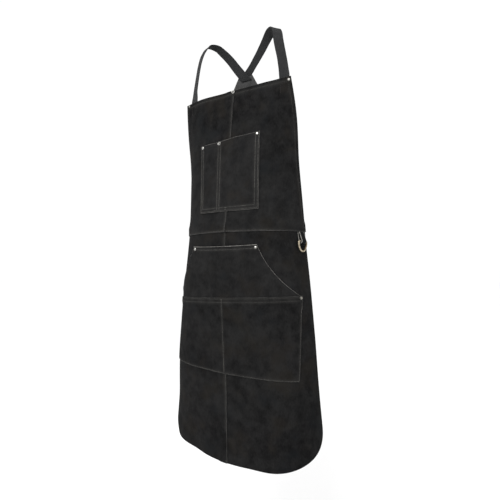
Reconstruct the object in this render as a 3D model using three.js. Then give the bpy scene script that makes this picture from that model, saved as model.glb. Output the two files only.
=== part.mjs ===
// Leather work apron with crossed shoulder straps, in the form in which it is worn.
// Millimetres, +Z up. The wearer faces -Y and +X is the wearer's left.
// The origin lies midway between the shoulders, level with the tops of the straps.
import * as THREE from "three";

// Sheet and webbing stock
const LEATHER = 1.6;
const GAP = 0.3;
const LAYER = LEATHER + GAP;
const POCKET_GAP = 0.6;
const WEBBING = { width: 25, thick: 2, gap: 0.7 };

// Overall sizes
const LENGTH = 914;
const SHOULDER_RISE = 175;
const TOP_HEM = 12;

// Worn form, one row per level: drop below the bib's top edge, half of the flat width,
// turn of the sheet at its side edge in degrees, how flat the middle stays, and the
// distance of the front in front of the shoulders.
const LEVELS = [
  { drop: 0, half: 162, turn: 14, flat: 0.3, front: 82 },
  { drop: 90, half: 176, turn: 38, flat: 0.45, front: 95 },
  { drop: 200, half: 188, turn: 63, flat: 0.55, front: 107 },
  { drop: 360, half: 218, turn: 88, flat: 0.55, front: 120 },
  { drop: 520, half: 239, turn: 90, flat: 0.6, front: 127 },
  { drop: 700, half: 249, turn: 92, flat: 0.8, front: 117 },
  { drop: LENGTH, half: 264, turn: 90, flat: 0.7, front: 111 },
];

// Soft folds: centre across and down, reach each way, lean in degrees, and height outwards.
const FOLDS = [
  { across: -72, drop: 24, reach_across: 60, reach_drop: 80, lean: 0, height: 8 },
  { across: 70, drop: 70, reach_across: 34, reach_drop: 110, lean: -8, height: -3 },
  { across: -120, drop: 878, reach_across: 90, reach_drop: 26, lean: 24, height: -5 },
  { across: -200, drop: 860, reach_across: 55, reach_drop: 48, lean: 0, height: 9 },
  { across: 150, drop: 850, reach_across: 42, reach_drop: 120, lean: 10, height: 5 },
];

// Seams: the right panels lap over the left ones, and the bib laps over the skirt.
const CENTRE = { edge: 11.5, under: -3.5, clear: 2, blend: 12 };
const WAIST = { edge: 364, under: 350, clear: 2, blend: 14 };
const HEM_CORNER = { share: 0.42, rise: 90 };
const HEM_PULL = { share: -0.46, reach: 0.22, height: 9 };
const TOP_CORNER = { from: 0.7, rise: 3 };
const TOP_DIP = { share: -0.25, reach: 0.45, depth: 5.5 };

// Pockets: positions across at the top and the bottom, and drops of their edges, which sag in the
// middle. The slanted openings of the hand pocket are drawn with one control point.
const CHEST = {
  top: { right: -88, left: 89, divider: -20, drop_right: 134, drop_left: 122, sag: 5 },
  bottom: { right: -77, left: 93.5, divider: -12.5, drop_right: 312, drop_left: 311, sag: 2 },
  slack: 2.6,
};
const HAND = {
  top: 395.5, end: 518, bottom: 536, sag: 3,
  half_top: 98, half_end: 203, shift: -5,
  control: { across: 0.3, down: 0.65 }, slack: 2.6,
};
const TOOL = {
  top: { right: 528.5, left: 514.5, half: 204 },
  bottom: { right: 695.5, left: 707.5, half: 191 },
  slack: 1.8,
};
const OVER_SEAM_MARGIN = 16;

// Rivets: a plain domed cap, and a tubular one with an open middle.
const RIVET = { radius: 4, rim: 0.5, height: 1.8 };
const EYELET = {
  radius: 4.5, crest: 3.1, lip: 2, hole: 1.7,
  rim: 0.5, shoulder: 1.2, height: 1.7, floor: 0.6,
};
const RIVET_SIDES = 12;
const RIVET_INSET = 5;
const BIB_RIVETS = {
  right: { across: -150, drop: 5 },
  left: { across: 156.5, drop: 5 },
  centre: { across: 9, drop: 8 },
};
const CHEST_RIVETS = { right: -79, left: 83 };
const HAND_RIVETS = { right: -93, left: 90.5, drop: 402.5 };
const END_RIVETS = { across: 198 };

// Ring at the waist: wire, D outline and the tab that carries it.
const RING = { wire: 2, half: 13, depth: 24, corner: 3.5, sides: 10, steps: 44 };
const TAB = { across: 198.5, drop: 365.5, width: 15, top: 3.4, hang: 21.5, stand: 8, clear: 0.35 };

// Straps, one row per station: position, height above the bib's top edge, the turn of the
// webbing's width away from the wearer's left-right line, and the fall of its left edge, in degrees.
const STRAP_ACROSS = { right: -129.5, left: 145.5 };
const STRAP_LEVEL_CUT = 1.6;
const STRAP_TAIL = [
  { drop: 38, gap: 0.7 },
  { drop: 19, gap: 0.9 },
  { drop: 2, gap: 1.6 },
];
const SHOULDER_LEFT = [
  { x: 137, y: -60, up: 28, turn: 42 },
  { x: 130, y: -55, up: 58, turn: 45 },
  { x: 121.5, y: -49, up: 88, turn: 39 },
  { x: 112.5, y: -41, up: 118, turn: 31, tilt: 8 },
  { x: 103, y: -29, up: 145.5, turn: 22, tilt: 28 },
  { x: 89, y: -15, up: 165.5, turn: 14, tilt: 22 },
  { x: 67, y: 1, up: 172, turn: 6, tilt: 12 },
  { x: 47.5, y: 13, up: 165.5, turn: 0, tilt: 6 },
  { x: 27, y: 20, up: 146, turn: 0 },
  { x: 7, y: 21.5, up: 122, turn: 0 },
  { x: -10, y: 19.8, up: 99, turn: 0 },
  { x: -25, y: 19.2, up: 83, turn: 0 },
];
const SHOULDER_RIGHT = [
  { x: -138, y: -59, up: 30, turn: -26 },
  { x: -138.5, y: -53, up: 61, turn: -28 },
  { x: -139, y: -46, up: 92, turn: -29 },
  { x: -139, y: -38, up: 124, turn: -28 },
  { x: -136, y: -27, up: 157, turn: -23 },
  { x: -126, y: -16, up: 178, turn: -18 },
  { x: -109, y: -2, up: 176, turn: -13 },
  { x: -92, y: 8, up: 160, turn: -10 },
  { x: -74, y: 14, up: 139, turn: -7 },
  { x: -57, y: 16.5, up: 116, turn: -4 },
  { x: -39, y: 16.5, up: 93, turn: -1 },
  { x: -20, y: 16, up: 70, turn: 0 },
];
const PATCH = { x: -27, y: 21.2, top: 90, bottom: 0, half_top: 20, half_bottom: 70, rows: 3, columns: 4 };
const WAIST_STRAP = { start: 40, start_up: 30, spread: 6, fall: 32, end_inset: 14.5 };
const WAIST_STRAP_WAY = [
  { out: 58, y: 30, up: -90, turn: 16 },
  { out: 90, y: 33, up: -185, turn: 34 },
  { out: 124, y: 16, up: -275, turn: 56 },
];
const WAIST_STRAP_END = [
  { drop: 358, gap: 2.6 },
  { drop: 373, gap: 1.4 },
  { drop: 388, gap: 1 },
];

const SUEDE = { color: 0x1d1c1b, roughness: 0.95, metalness: 0 };
const WEB = { color: 0x2c2d2e, roughness: 0.9, metalness: 0 };
const GREY_LEATHER = { color: 0x4a4b4b, roughness: 0.9, metalness: 0 };
const NICKEL = { color: 0xb9b7b0, roughness: 0.35, metalness: 1 };
const ANTIQUE_BRASS = { color: 0x8d7c5c, roughness: 0.4, metalness: 1 };

const { degToRad, lerp, smoothstep, clamp } = THREE.MathUtils;
const sagAt = (share) => 4 * share * (1 - share);
const span = (count, from, to) => Array.from({ length: count + 1 }, (_, k) => lerp(from, to, k / count));

const apron = new THREE.Group();

function addPiece(name, geometry, finish, parent = apron) {
  const mesh = new THREE.Mesh(geometry, new THREE.MeshStandardMaterial(finish));
  mesh.name = name;
  parent.add(mesh);
  return mesh;
}

// The worn form
const FORM_STEPS = 24;
const levelCurve = new THREE.CubicInterpolant(
  LEVELS.map((level) => level.drop),
  LEVELS.flatMap((level) => [level.half, level.turn, level.flat, level.front]),
  4,
);

function levelAt(drop) {
  const [half, turn, flat, front] = levelCurve.evaluate(clamp(drop, 0, LENGTH));
  return { half, turn: degToRad(turn), flat, front };
}

function foldHeight(across, drop) {
  let height = 0;
  for (const fold of FOLDS) {
    const lean = degToRad(fold.lean);
    const du = across - fold.across;
    const dv = drop - fold.drop;
    const a = (du * Math.cos(lean) + dv * Math.sin(lean)) / fold.reach_across;
    const b = (dv * Math.cos(lean) - du * Math.sin(lean)) / fold.reach_drop;
    height += fold.height * Math.exp(-a * a - b * b);
  }
  return height;
}

// Point of the form at a flat position, raised outwards, and the outward direction there
function form(across, drop, out = 0) {
  const level = levelAt(drop);
  const heading = (a) => {
    const share = a / level.half;
    return level.turn * ((1 - level.flat) * share + level.flat * share ** 3);
  };
  const step = across / FORM_STEPS;
  let x = 0;
  let y = -level.front;
  for (let k = 0; k < FORM_STEPS; k += 1) {
    const middle = heading((k + 0.5) * step);
    x += Math.cos(middle) * step;
    y += Math.sin(middle) * step;
  }
  const turn = heading(across);
  const outward = new THREE.Vector3(Math.sin(turn), -Math.cos(turn), 0);
  const point = new THREE.Vector3(x, y, -SHOULDER_RISE - drop);
  point.addScaledVector(outward, out + foldHeight(across, drop));
  return { point, outward };
}

// A closed sheet: two faces of rows by columns and the rim between them.
function sheet(rows, columns, pointAt) {
  const positions = [];
  const index = [];
  for (const face of [0, 1]) {
    for (let r = 0; r <= rows; r += 1) {
      for (let c = 0; c <= columns; c += 1) {
        positions.push(...pointAt(r, c, face).toArray());
      }
    }
  }
  const at = (r, c, face) => (face * (rows + 1) + r) * (columns + 1) + c;
  const quad = (a, b, c, d) => index.push(a, b, c, a, c, d);
  for (let r = 0; r < rows; r += 1) {
    for (let c = 0; c < columns; c += 1) {
      quad(at(r, c, 1), at(r + 1, c, 1), at(r + 1, c + 1, 1), at(r, c + 1, 1));
      quad(at(r, c, 0), at(r, c + 1, 0), at(r + 1, c + 1, 0), at(r + 1, c, 0));
    }
    quad(at(r, 0, 1), at(r, 0, 0), at(r + 1, 0, 0), at(r + 1, 0, 1));
    quad(at(r, columns, 1), at(r + 1, columns, 1), at(r + 1, columns, 0), at(r, columns, 0));
  }
  for (let c = 0; c < columns; c += 1) {
    quad(at(0, c, 1), at(0, c + 1, 1), at(0, c + 1, 0), at(0, c, 0));
    quad(at(rows, c, 1), at(rows, c, 0), at(rows, c + 1, 0), at(rows, c + 1, 1));
  }
  const geometry = new THREE.BufferGeometry();
  geometry.setAttribute("position", new THREE.Float32BufferAttribute(positions, 3));
  geometry.setIndex(index);
  return geometry;
}

// A sheet of leather laid on the form: place(row, column) gives across, drop and out.
function leather(rows, columns, place) {
  return sheet(rows, columns, (r, c, face) => {
    const { across, drop, out } = place(r, c);
    return form(across, drop, out + face * LEATHER).point;
  });
}

// Lifts of one layer over another at the seams, from 0 to 1
const CENTRE_FULL = CENTRE.under - CENTRE.clear;
const CENTRE_START = CENTRE_FULL - CENTRE.blend;
const CROSS_FULL = CENTRE.edge + CENTRE.clear;
const CROSS_END = CROSS_FULL + CENTRE.blend;
const WAIST_FULL = WAIST.under - WAIST.clear;
const WAIST_START = WAIST_FULL - WAIST.blend;
const centreLift = (across) => smoothstep(across, CENTRE_START, CENTRE_FULL);
const crossLift = (across) => 1 - smoothstep(across, CROSS_FULL, CROSS_END);
const waistLift = (drop) => smoothstep(drop, WAIST_START, WAIST_FULL);
const overSeam = (across) =>
  centreLift(across + OVER_SEAM_MARGIN) * crossLift(across - OVER_SEAM_MARGIN);

// Body panels. A column is a share of the half width plus an offset from the middle.
const SIDE_COLUMNS = 11;
const SIDE_CROWDING = 1.5;
const sideShares = span(SIDE_COLUMNS, 0, 1).map((k) => k ** SIDE_CROWDING);
const RIGHT_COLUMNS = [
  ...sideShares.map((k) => ({ share: k - 1, offset: CENTRE_START * k })),
  { share: 0, offset: (CENTRE_START + CENTRE_FULL) / 2 },
  { share: 0, offset: CENTRE_FULL },
  { share: 0, offset: (CENTRE_FULL + CENTRE.edge) / 2 },
  { share: 0, offset: CENTRE.edge },
];
const LEFT_COLUMNS = [
  { share: 0, offset: CENTRE.under },
  { share: 0, offset: (CENTRE.under + CROSS_FULL) / 2 },
  { share: 0, offset: CROSS_FULL },
  { share: 0, offset: (CROSS_FULL + CROSS_END) / 2 },
  ...sideShares.toReversed().map((k) => ({ share: 1 - k, offset: CROSS_END * k })),
];
const BIB_ROWS = [
  0,
  TOP_HEM,
  ...span(10, 3 * TOP_HEM, WAIST_START),
  (WAIST_START + WAIST_FULL) / 2,
  WAIST_FULL,
  WAIST.edge,
];
const SKIRT_ROWS = 16;

const columnAcross = (column, drop) => column.share * levelAt(drop).half + column.offset;

function hemDrop(share) {
  const corner = clamp((Math.abs(share) - HEM_CORNER.share) / (1 - HEM_CORNER.share), 0, 1);
  const pull = Math.exp(-(((share - HEM_PULL.share) / HEM_PULL.reach) ** 2));
  return LENGTH - HEM_CORNER.rise * (1 - Math.sqrt(1 - corner * corner)) - HEM_PULL.height * pull;
}

// How far the hem at the top runs below its level row, less the rise of the left corner
function topShift(column, row) {
  const share = columnAcross(column, 0) / LEVELS[0].half;
  const dip = TOP_DIP.depth * Math.exp(-(((share - TOP_DIP.share) / TOP_DIP.reach) ** 2));
  return row === 0 ? dip - TOP_CORNER.rise * smoothstep(share, TOP_CORNER.from, 1) : dip;
}

function bibPanel(name, columns, lift) {
  const geometry = leather(BIB_ROWS.length - 1, columns.length - 1, (r, c) => {
    const drop = BIB_ROWS[r] + (BIB_ROWS[r] > TOP_HEM ? 0 : topShift(columns[c], r));
    const across = columnAcross(columns[c], drop);
    return { across, drop, out: lift(across, drop) * LAYER };
  });
  addPiece(name, geometry, SUEDE);
}

function skirtPanel(name, columns, lift) {
  const geometry = leather(SKIRT_ROWS + 1, columns.length - 1, (r, c) => {
    const hem = hemDrop(columns[c].share);
    const drop = r === 0 ? WAIST.under : lerp(WAIST.edge, hem, (r - 1) / SKIRT_ROWS);
    const across = columnAcross(columns[c], drop);
    return { across, drop, out: lift(across) * LAYER };
  });
  addPiece(name, geometry, SUEDE);
}

const rightBibLift = (across, drop) => centreLift(across) + waistLift(drop) * (1 + centreLift(across));
const leftBibLift = (across, drop) => waistLift(drop) * (1 + crossLift(across));
bibPanel("bib_panel_right", RIGHT_COLUMNS, rightBibLift);
bibPanel("bib_panel_left", LEFT_COLUMNS, leftBibLift);
skirtPanel("skirt_panel_right", RIGHT_COLUMNS, centreLift);
skirtPanel("skirt_panel_left", LEFT_COLUMNS, () => 0);

// Pockets lie on the body panels and stand off a little where they are open.
const pocketBase = (across) => LEATHER + POCKET_GAP + overSeam(across) * LAYER;
const arch = (share) => Math.sin(Math.PI * clamp(share, 0, 1)) ** 2;

const CHEST_ROWS = 8;
const CHEST_COLUMNS = 16;

const chestShare = (key, down) => lerp(CHEST.top[key], CHEST.bottom[key], down);

function chestSides(share) {
  const { top, bottom } = CHEST;
  return {
    top: lerp(top.drop_right, top.drop_left, share) + top.sag * sagAt(share),
    bottom: lerp(bottom.drop_right, bottom.drop_left, share) + bottom.sag * sagAt(share),
  };
}

const chestAcross = (across) => clamp((across - CHEST.top.right) / (CHEST.top.left - CHEST.top.right), 0, 1);

function chestOut(across, drop) {
  const edges = chestSides(chestAcross(across));
  const down = clamp((drop - edges.top) / (edges.bottom - edges.top), 0, 1);
  const [right, left, divider] = ["right", "left", "divider"].map((key) => chestShare(key, down));
  const rightShare = (across - right) / (divider - right);
  const leftShare = (across - divider) / (left - divider);
  const swell = arch(across < divider ? rightShare : leftShare);
  return pocketBase(across) + CHEST.slack * swell * (1 - down * down);
}

const chestGeometry = leather(CHEST_ROWS, CHEST_COLUMNS, (r, c) => {
  const down = r / CHEST_ROWS;
  const share = c / CHEST_COLUMNS;
  const across = lerp(chestShare("right", down), chestShare("left", down), share);
  const edges = chestSides(share);
  const drop = lerp(edges.top, edges.bottom, down);
  return { across, drop, out: chestOut(across, drop) };
});
addPiece("chest_pocket", chestGeometry, SUEDE);

const POCKET_COLUMNS = 28;

const handDown = (drop) => clamp((drop - HAND.top) / (HAND.end - HAND.top), 0, 1);

function handHalf(drop) {
  const { across, down } = HAND.control;
  const bend = 2 * down - 1;
  const way = (down - Math.sqrt(down * down - bend * handDown(drop))) / bend;
  return lerp(HAND.half_top, HAND.half_end, way * (2 * across + (1 - 2 * across) * way));
}

const handOut = (across, drop) => pocketBase(across) + HAND.slack * arch(handDown(drop));

const HAND_NEAR_END = 24;
const HAND_ROWS = [
  ...span(6, HAND.top, HAND.end - HAND_NEAR_END),
  ...span(4, HAND.end - HAND_NEAR_END, HAND.end).slice(1),
  HAND.bottom,
];
const handGeometry = leather(HAND_ROWS.length - 1, POCKET_COLUMNS, (r, c) => {
  const row = HAND_ROWS[r];
  const share = c / POCKET_COLUMNS;
  const half = handHalf(row);
  const across = HAND.shift * (1 - handDown(row)) + lerp(-half, half, share);
  const drop = row + HAND.sag * sagAt(share) * (1 - handDown(row));
  return { across, drop, out: handOut(across, drop) };
});
addPiece("hand_pocket", handGeometry, SUEDE);

const LAP_END = HAND.bottom + WAIST.clear;
const toolEdge = (edge, across) => lerp(edge.right, edge.left, (across / edge.half + 1) / 2);

function toolDown(across, drop) {
  const top = toolEdge(TOOL.top, across);
  return clamp((drop - top) / (toolEdge(TOOL.bottom, across) - top), 0, 1);
}

function toolOut(across, drop) {
  const lap = 1 - smoothstep(drop, LAP_END, LAP_END + WAIST.blend);
  const down = toolDown(across, drop);
  const share = Math.abs(across) / lerp(TOOL.top.half, TOOL.bottom.half, down);
  return pocketBase(across) + lap * LAYER + TOOL.slack * arch(share) * arch(down) * (1 - lap);
}

const TOOL_ROWS = 7;
const toolGeometry = leather(TOOL_ROWS, POCKET_COLUMNS, (r, c) => {
  const side = lerp(-1, 1, c / POCKET_COLUMNS);
  const top = toolEdge(TOOL.top, side * TOOL.top.half);
  const bottom = toolEdge(TOOL.bottom, side * TOOL.bottom.half);
  const rows = [top, LAP_END, ...span(TOOL_ROWS - 2, LAP_END + WAIST.blend, bottom)];
  const down = (rows[r] - top) / (bottom - top);
  const across = side * lerp(TOOL.top.half, TOOL.bottom.half, down);
  return { across, drop: rows[r], out: toolOut(across, rows[r]) };
});
addPiece("tool_pocket", toolGeometry, SUEDE);

// Rivet caps, turned about their own axis and set on the leather
function plainProfile() {
  const { radius, rim, height } = RIVET;
  const dome = span(3, 0, Math.PI / 2).slice(0, -1);
  return [
    new THREE.Vector2(0, 0),
    new THREE.Vector2(radius, 0),
    ...dome.map((a) => new THREE.Vector2(radius * Math.cos(a), rim + (height - rim) * Math.sin(a))),
    new THREE.Vector2(0, height),
  ];
}

function eyeletProfile() {
  const { radius, rim, shoulder, crest, height, lip, hole, floor } = EYELET;
  return [
    new THREE.Vector2(0, 0),
    new THREE.Vector2(radius, 0),
    new THREE.Vector2(radius, rim),
    new THREE.Vector2(radius - rim, shoulder),
    new THREE.Vector2(crest, height),
    new THREE.Vector2(lip, shoulder),
    new THREE.Vector2(hole, floor),
    new THREE.Vector2(0, floor),
  ];
}

function addRivet({ name, across, drop, out, profile }) {
  const cap = addPiece(name, new THREE.LatheGeometry(profile, RIVET_SIDES), NICKEL);
  const on = (du, dv) => form(across + du, drop + dv, out(across + du, drop + dv) + LEATHER).point;
  const reach = RIVET.radius;
  const along = on(reach, 0).sub(on(-reach, 0));
  const down = on(0, reach).sub(on(0, -reach));
  const normal = down.cross(along).normalize();
  cap.position.copy(on(0, 0)).addScaledVector(normal, GAP);
  cap.quaternion.setFromUnitVectors(new THREE.Vector3(0, 1, 0), normal);
}

const PLAIN = plainProfile();
const OPEN = eyeletProfile();
const chestRivet = (across) => ({ across, drop: chestSides(chestAcross(across)).top + RIVET_INSET });
const endRivet = (across) => ({ across, drop: toolEdge(TOOL.top, across) + RIVET_INSET });
const handRivet = (across) => ({ across, drop: HAND_RIVETS.drop });
const rightBibOut = (across, drop) => rightBibLift(across, drop) * LAYER;
const leftBibOut = (across, drop) => leftBibLift(across, drop) * LAYER;
const RIVETS = [
  { name: "bib_rivet_right", ...BIB_RIVETS.right, out: rightBibOut, profile: PLAIN },
  { name: "bib_rivet_left", ...BIB_RIVETS.left, out: leftBibOut, profile: PLAIN },
  { name: "bib_rivet_centre", ...BIB_RIVETS.centre, out: rightBibOut, profile: OPEN },
  { name: "chest_rivet_right", ...chestRivet(CHEST_RIVETS.right), out: chestOut, profile: PLAIN },
  { name: "chest_rivet_divider", ...chestRivet(CHEST.top.divider), out: chestOut, profile: OPEN },
  { name: "chest_rivet_left", ...chestRivet(CHEST_RIVETS.left), out: chestOut, profile: PLAIN },
  { name: "pocket_rivet_top_right", ...handRivet(HAND_RIVETS.right), out: handOut, profile: PLAIN },
  { name: "pocket_rivet_top_left", ...handRivet(HAND_RIVETS.left), out: handOut, profile: PLAIN },
  { name: "pocket_rivet_end_right", ...endRivet(-END_RIVETS.across), out: toolOut, profile: PLAIN },
  { name: "pocket_rivet_end_left", ...endRivet(END_RIVETS.across), out: toolOut, profile: PLAIN },
];
RIVETS.forEach(addRivet);

// Webbing: a flat ribbon through stations, each with a centre and the direction of its width.
// Its last end comes to a level cut over the given number of stations, or is cut square.
function webbing(stations, steps, levelCut = 0) {
  const last = stations.length - 1;
  const centre = new THREE.CatmullRomCurve3(stations.map((s) => s.centre));
  const widthWay = new THREE.CatmullRomCurve3(stations.map((s) => s.width));
  return sheet(steps, 2, (r, c, face) => {
    const t = r / steps;
    const tangent = centre.getTangent(t);
    const width = widthWay.getPoint(t);
    width.addScaledVector(tangent, -width.dot(tangent)).normalize();
    const normal = tangent.clone().cross(width).normalize();
    const offset = (c / 2 - 0.5) * WEBBING.width;
    const lean = levelCut ? smoothstep(t * last, last - levelCut, last) : 0;
    return centre
      .getPoint(t)
      .addScaledVector(tangent, lean && (-lean * offset * width.z) / tangent.z)
      .addScaledVector(width, offset)
      .addScaledVector(normal, (face - 0.5) * WEBBING.thick);
  });
}

const tiltedWay = (turn, tilt) =>
  new THREE.Vector3(Math.cos(turn) * Math.cos(tilt), Math.sin(turn) * Math.cos(tilt), -Math.sin(tilt));
const station = ({ x, y, up, turn, tilt = 0 }) => ({
  centre: new THREE.Vector3(x, y, up - SHOULDER_RISE),
  width: tiltedWay(degToRad(turn), degToRad(tilt)),
});

// A station on the inner face of the leather, where both edges of the webbing keep the gap
function insideForm(across, drop, gap) {
  const [a, b] = [-0.5, 0.5].map(
    (share) => form(across + share * WEBBING.width, drop, -gap - WEBBING.thick / 2).point,
  );
  return { centre: a.clone().lerp(b, 0.5), width: b.sub(a).normalize() };
}

const SHOULDER_STEPS = 48;

function shoulderStrap(name, across, way) {
  const tail = STRAP_TAIL.map(({ drop, gap }) => insideForm(across, drop, gap));
  addPiece(name, webbing([...tail, ...way.map(station)], SHOULDER_STEPS, STRAP_LEVEL_CUT), WEB);
}

shoulderStrap("shoulder_strap_right", STRAP_ACROSS.right, SHOULDER_RIGHT);
shoulderStrap("shoulder_strap_left", STRAP_ACROSS.left, SHOULDER_LEFT);

// Back patch, behind the strap ends
const patchGeometry = sheet(PATCH.rows, PATCH.columns, (r, c, face) => {
  const down = r / PATCH.rows;
  const half = lerp(PATCH.half_top, PATCH.half_bottom, down);
  const x = PATCH.x + lerp(half, -half, c / PATCH.columns);
  return new THREE.Vector3(x, PATCH.y + face * LEATHER, lerp(PATCH.top, PATCH.bottom, down) - SHOULDER_RISE);
});
addPiece("back_patch", patchGeometry, GREY_LEATHER);

// Waist straps, from the patch to the inner face of the skirt's side edges
const WAIST_STEPS = 20;

function waistStrap(name, side) {
  const onPatch = PATCH.y - WEBBING.gap - WEBBING.thick / 2;
  const start = [0, 1].map((k) => ({
    x: PATCH.x + side * (WAIST_STRAP.start + k * WAIST_STRAP.spread),
    y: onPatch,
    up: WAIST_STRAP.start_up - k * WAIST_STRAP.fall,
    turn: 0,
  }));
  const way = WAIST_STRAP_WAY.map(({ out, y, up, turn }) => ({ x: side * out, y, up, turn: side * turn }));
  const end = WAIST_STRAP_END.map(({ drop, gap }) =>
    insideForm(side * (levelAt(drop).half - WAIST_STRAP.end_inset), drop, gap),
  );
  addPiece(name, webbing([...start.map(station), ...way.map(station), ...end], WAIST_STEPS), WEB);
}

waistStrap("waist_strap_right", -1);
waistStrap("waist_strap_left", 1);

// Ring and tab, in a group whose X points out of the leather and Y points up
function waistGroup() {
  const { point, outward } = form(TAB.across, TAB.drop, LAYER);
  const up = new THREE.Vector3(0, 0, 1);
  const basis = new THREE.Matrix4().makeBasis(outward, up, outward.clone().cross(up));
  const group = new THREE.Group();
  group.applyMatrix4(basis.setPosition(point));
  apron.add(group);
  return group;
}

function tabGeometry() {
  const eye = RING.wire + TAB.clear;
  const lobe = eye + LEATHER;
  const fall = new THREE.Vector2(TAB.stand - TAB.top / 2, -TAB.hang).normalize();
  const inner = Math.atan2(-fall.x, fall.y);
  const outline = new THREE.Shape();
  outline.moveTo(0, 0);
  outline.lineTo(TAB.stand + lobe * Math.cos(inner), -TAB.hang + lobe * Math.sin(inner));
  outline.absarc(TAB.stand, -TAB.hang, lobe, inner, inner + Math.PI, false);
  outline.lineTo(TAB.top, 0);
  outline.closePath();
  const hole = new THREE.Path();
  hole.absarc(TAB.stand, -TAB.hang, eye, 0, 2 * Math.PI, true);
  outline.holes.push(hole);
  const extrusion = { depth: TAB.width, bevelEnabled: false, curveSegments: 8 };
  return new THREE.ExtrudeGeometry(outline, extrusion).translate(0, 0, -TAB.width / 2);
}

// The D's centre line lies in the group's YZ plane, hanging from its straight bar.
function ringGeometry() {
  const { wire, half, depth, corner, sides, steps } = RING;
  const line = new THREE.Path();
  line.moveTo(0, 0);
  line.lineTo(half - corner, 0);
  line.absarc(half - corner, -corner, corner, Math.PI / 2, 0, true);
  line.absellipse(0, -corner, half, depth - corner, 0, -Math.PI, true);
  line.absarc(corner - half, -corner, corner, Math.PI, Math.PI / 2, true);
  line.lineTo(0, 0);
  const points = line.getSpacedPoints(steps).slice(0, steps);
  const positions = [];
  const index = [];
  points.forEach((p, k) => {
    const before = points[(k + steps - 1) % steps];
    const after = points[(k + 1) % steps];
    const along = after.clone().sub(before).normalize();
    for (let s = 0; s < sides; s += 1) {
      const a = (2 * Math.PI * s) / sides;
      const sideways = wire * Math.cos(a);
      positions.push(wire * Math.sin(a), p.y - along.x * sideways, p.x + along.y * sideways);
      const [s1, k1] = [(s + 1) % sides, (k + 1) % steps];
      const [v00, v01, v10, v11] = [k * sides + s, k * sides + s1, k1 * sides + s, k1 * sides + s1];
      index.push(v00, v11, v10, v00, v01, v11);
    }
  });
  const geometry = new THREE.BufferGeometry();
  geometry.setAttribute("position", new THREE.Float32BufferAttribute(positions, 3));
  geometry.setIndex(index);
  return geometry.translate(TAB.stand, -TAB.hang, 0);
}

const waist = waistGroup();
addPiece("ring_tab", tabGeometry(), SUEDE, waist);
addPiece("d_ring", ringGeometry(), ANTIQUE_BRASS, waist);

export default apron;
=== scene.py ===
"""Looks of the leather work apron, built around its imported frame."""

import logging
import math
from collections.abc import Callable, Sequence
from dataclasses import dataclass, field
from enum import Enum

import bmesh
import bpy
import numpy as np
from mathutils import Matrix, Vector, noise


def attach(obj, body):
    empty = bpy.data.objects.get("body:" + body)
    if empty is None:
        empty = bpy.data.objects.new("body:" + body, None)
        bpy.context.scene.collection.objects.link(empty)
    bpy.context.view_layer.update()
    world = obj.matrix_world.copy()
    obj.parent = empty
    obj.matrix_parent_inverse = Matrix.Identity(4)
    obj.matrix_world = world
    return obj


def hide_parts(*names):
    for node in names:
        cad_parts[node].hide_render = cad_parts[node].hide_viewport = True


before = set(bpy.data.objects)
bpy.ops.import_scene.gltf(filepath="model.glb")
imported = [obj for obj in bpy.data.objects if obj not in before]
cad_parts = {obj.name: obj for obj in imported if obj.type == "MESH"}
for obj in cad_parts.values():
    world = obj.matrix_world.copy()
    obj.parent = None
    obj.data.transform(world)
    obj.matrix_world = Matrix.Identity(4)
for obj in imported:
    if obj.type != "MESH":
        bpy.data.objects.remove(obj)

LOG = logging.getLogger("apron")
MM = 0.001
LEATHER = 1.6  # thickness of the leather, in millimetres
FAR = 99.0  # a distance at which no stitches press the leather, in millimetres
MERGE = 1e-6  # points nearer than this are one, in metres
BODY = "apron"
RING_BODY = "ring"

Array = np.ndarray
Triple = tuple[float, float, float]
Colour = Triple
Place = Callable[[Array, Array], "Spot"]
Lift = Callable[[Array, Array], Array]


def ease(value: Array, start: float, end: float) -> Array:
    """Smooth step of a value from 0 at start to 1 at end."""
    share = np.clip((np.asarray(value, float) - start) / (end - start), 0.0, 1.0)
    return share * share * (3.0 - 2.0 * share)


def mix(a: Array, b: Array, share: Array) -> Array:
    """Straight mix of two values."""
    return a + (b - a) * share


def swell(share: Array) -> Array:
    """Rounded rise from 0 to 1 and back over a share of 0 to 1."""
    return np.sin(math.pi * np.clip(share, 0.0, 1.0)) ** 2


def sag(share: Array) -> Array:
    """Sag of an edge between its ends, 1 in the middle."""
    return 4.0 * share * (1.0 - share)


def hermite(share: Array, start: Array, leaving: Array, end: Array, arriving: Array) -> Array:
    """Smooth way between two values, with a slope at each."""
    return (
        (2 * share**3 - 3 * share**2 + 1) * start
        + (share**3 - 2 * share**2 + share) * leaving
        + (3 * share**2 - 2 * share**3) * end
        + (share**3 - share**2) * arriving
    )


def run_along(line: Array) -> Array:
    """Distance along a line at each of its points."""
    return np.concatenate([[0.0], np.cumsum(np.linalg.norm(np.diff(line, axis=0), axis=1))])


def nearest(*distances: Array) -> Array:
    """Distance to the nearest of several rows of stitches."""
    return np.minimum.reduce([np.abs(distance) for distance in distances])


class Side(Enum):
    """Side of the wearer's body, with the sign of its X axis."""

    RIGHT = -1
    LEFT = 1


class Stock(Enum):
    """Material slots of the record that the finishes of the new pieces stand for."""

    SUEDE = "suede"
    WEBBING = "webbing"
    GREY = "grey_leather"
    NICKEL = "nickel"
    BRASS = "antique_brass"


# The worn form


@dataclass(frozen=True)
class Level:
    """One level of the worn form, in millimetres and degrees."""

    drop: float
    half: float
    turn: float
    flat: float
    front: float


@dataclass(frozen=True)
class Fold:
    """A soft fold of the leather, in millimetres and degrees."""

    across: float
    drop: float
    reach_across: float
    reach_drop: float
    lean: float
    height: float

    def raise_at(self, across: Array, drop: Array) -> Array:
        """Height of the fold at flat positions."""
        lean = math.radians(self.lean)
        du, dv = across - self.across, drop - self.drop
        a = (du * math.cos(lean) + dv * math.sin(lean)) / self.reach_across
        b = (dv * math.cos(lean) - du * math.sin(lean)) / self.reach_drop
        return self.height * np.exp(-a * a - b * b)


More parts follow.
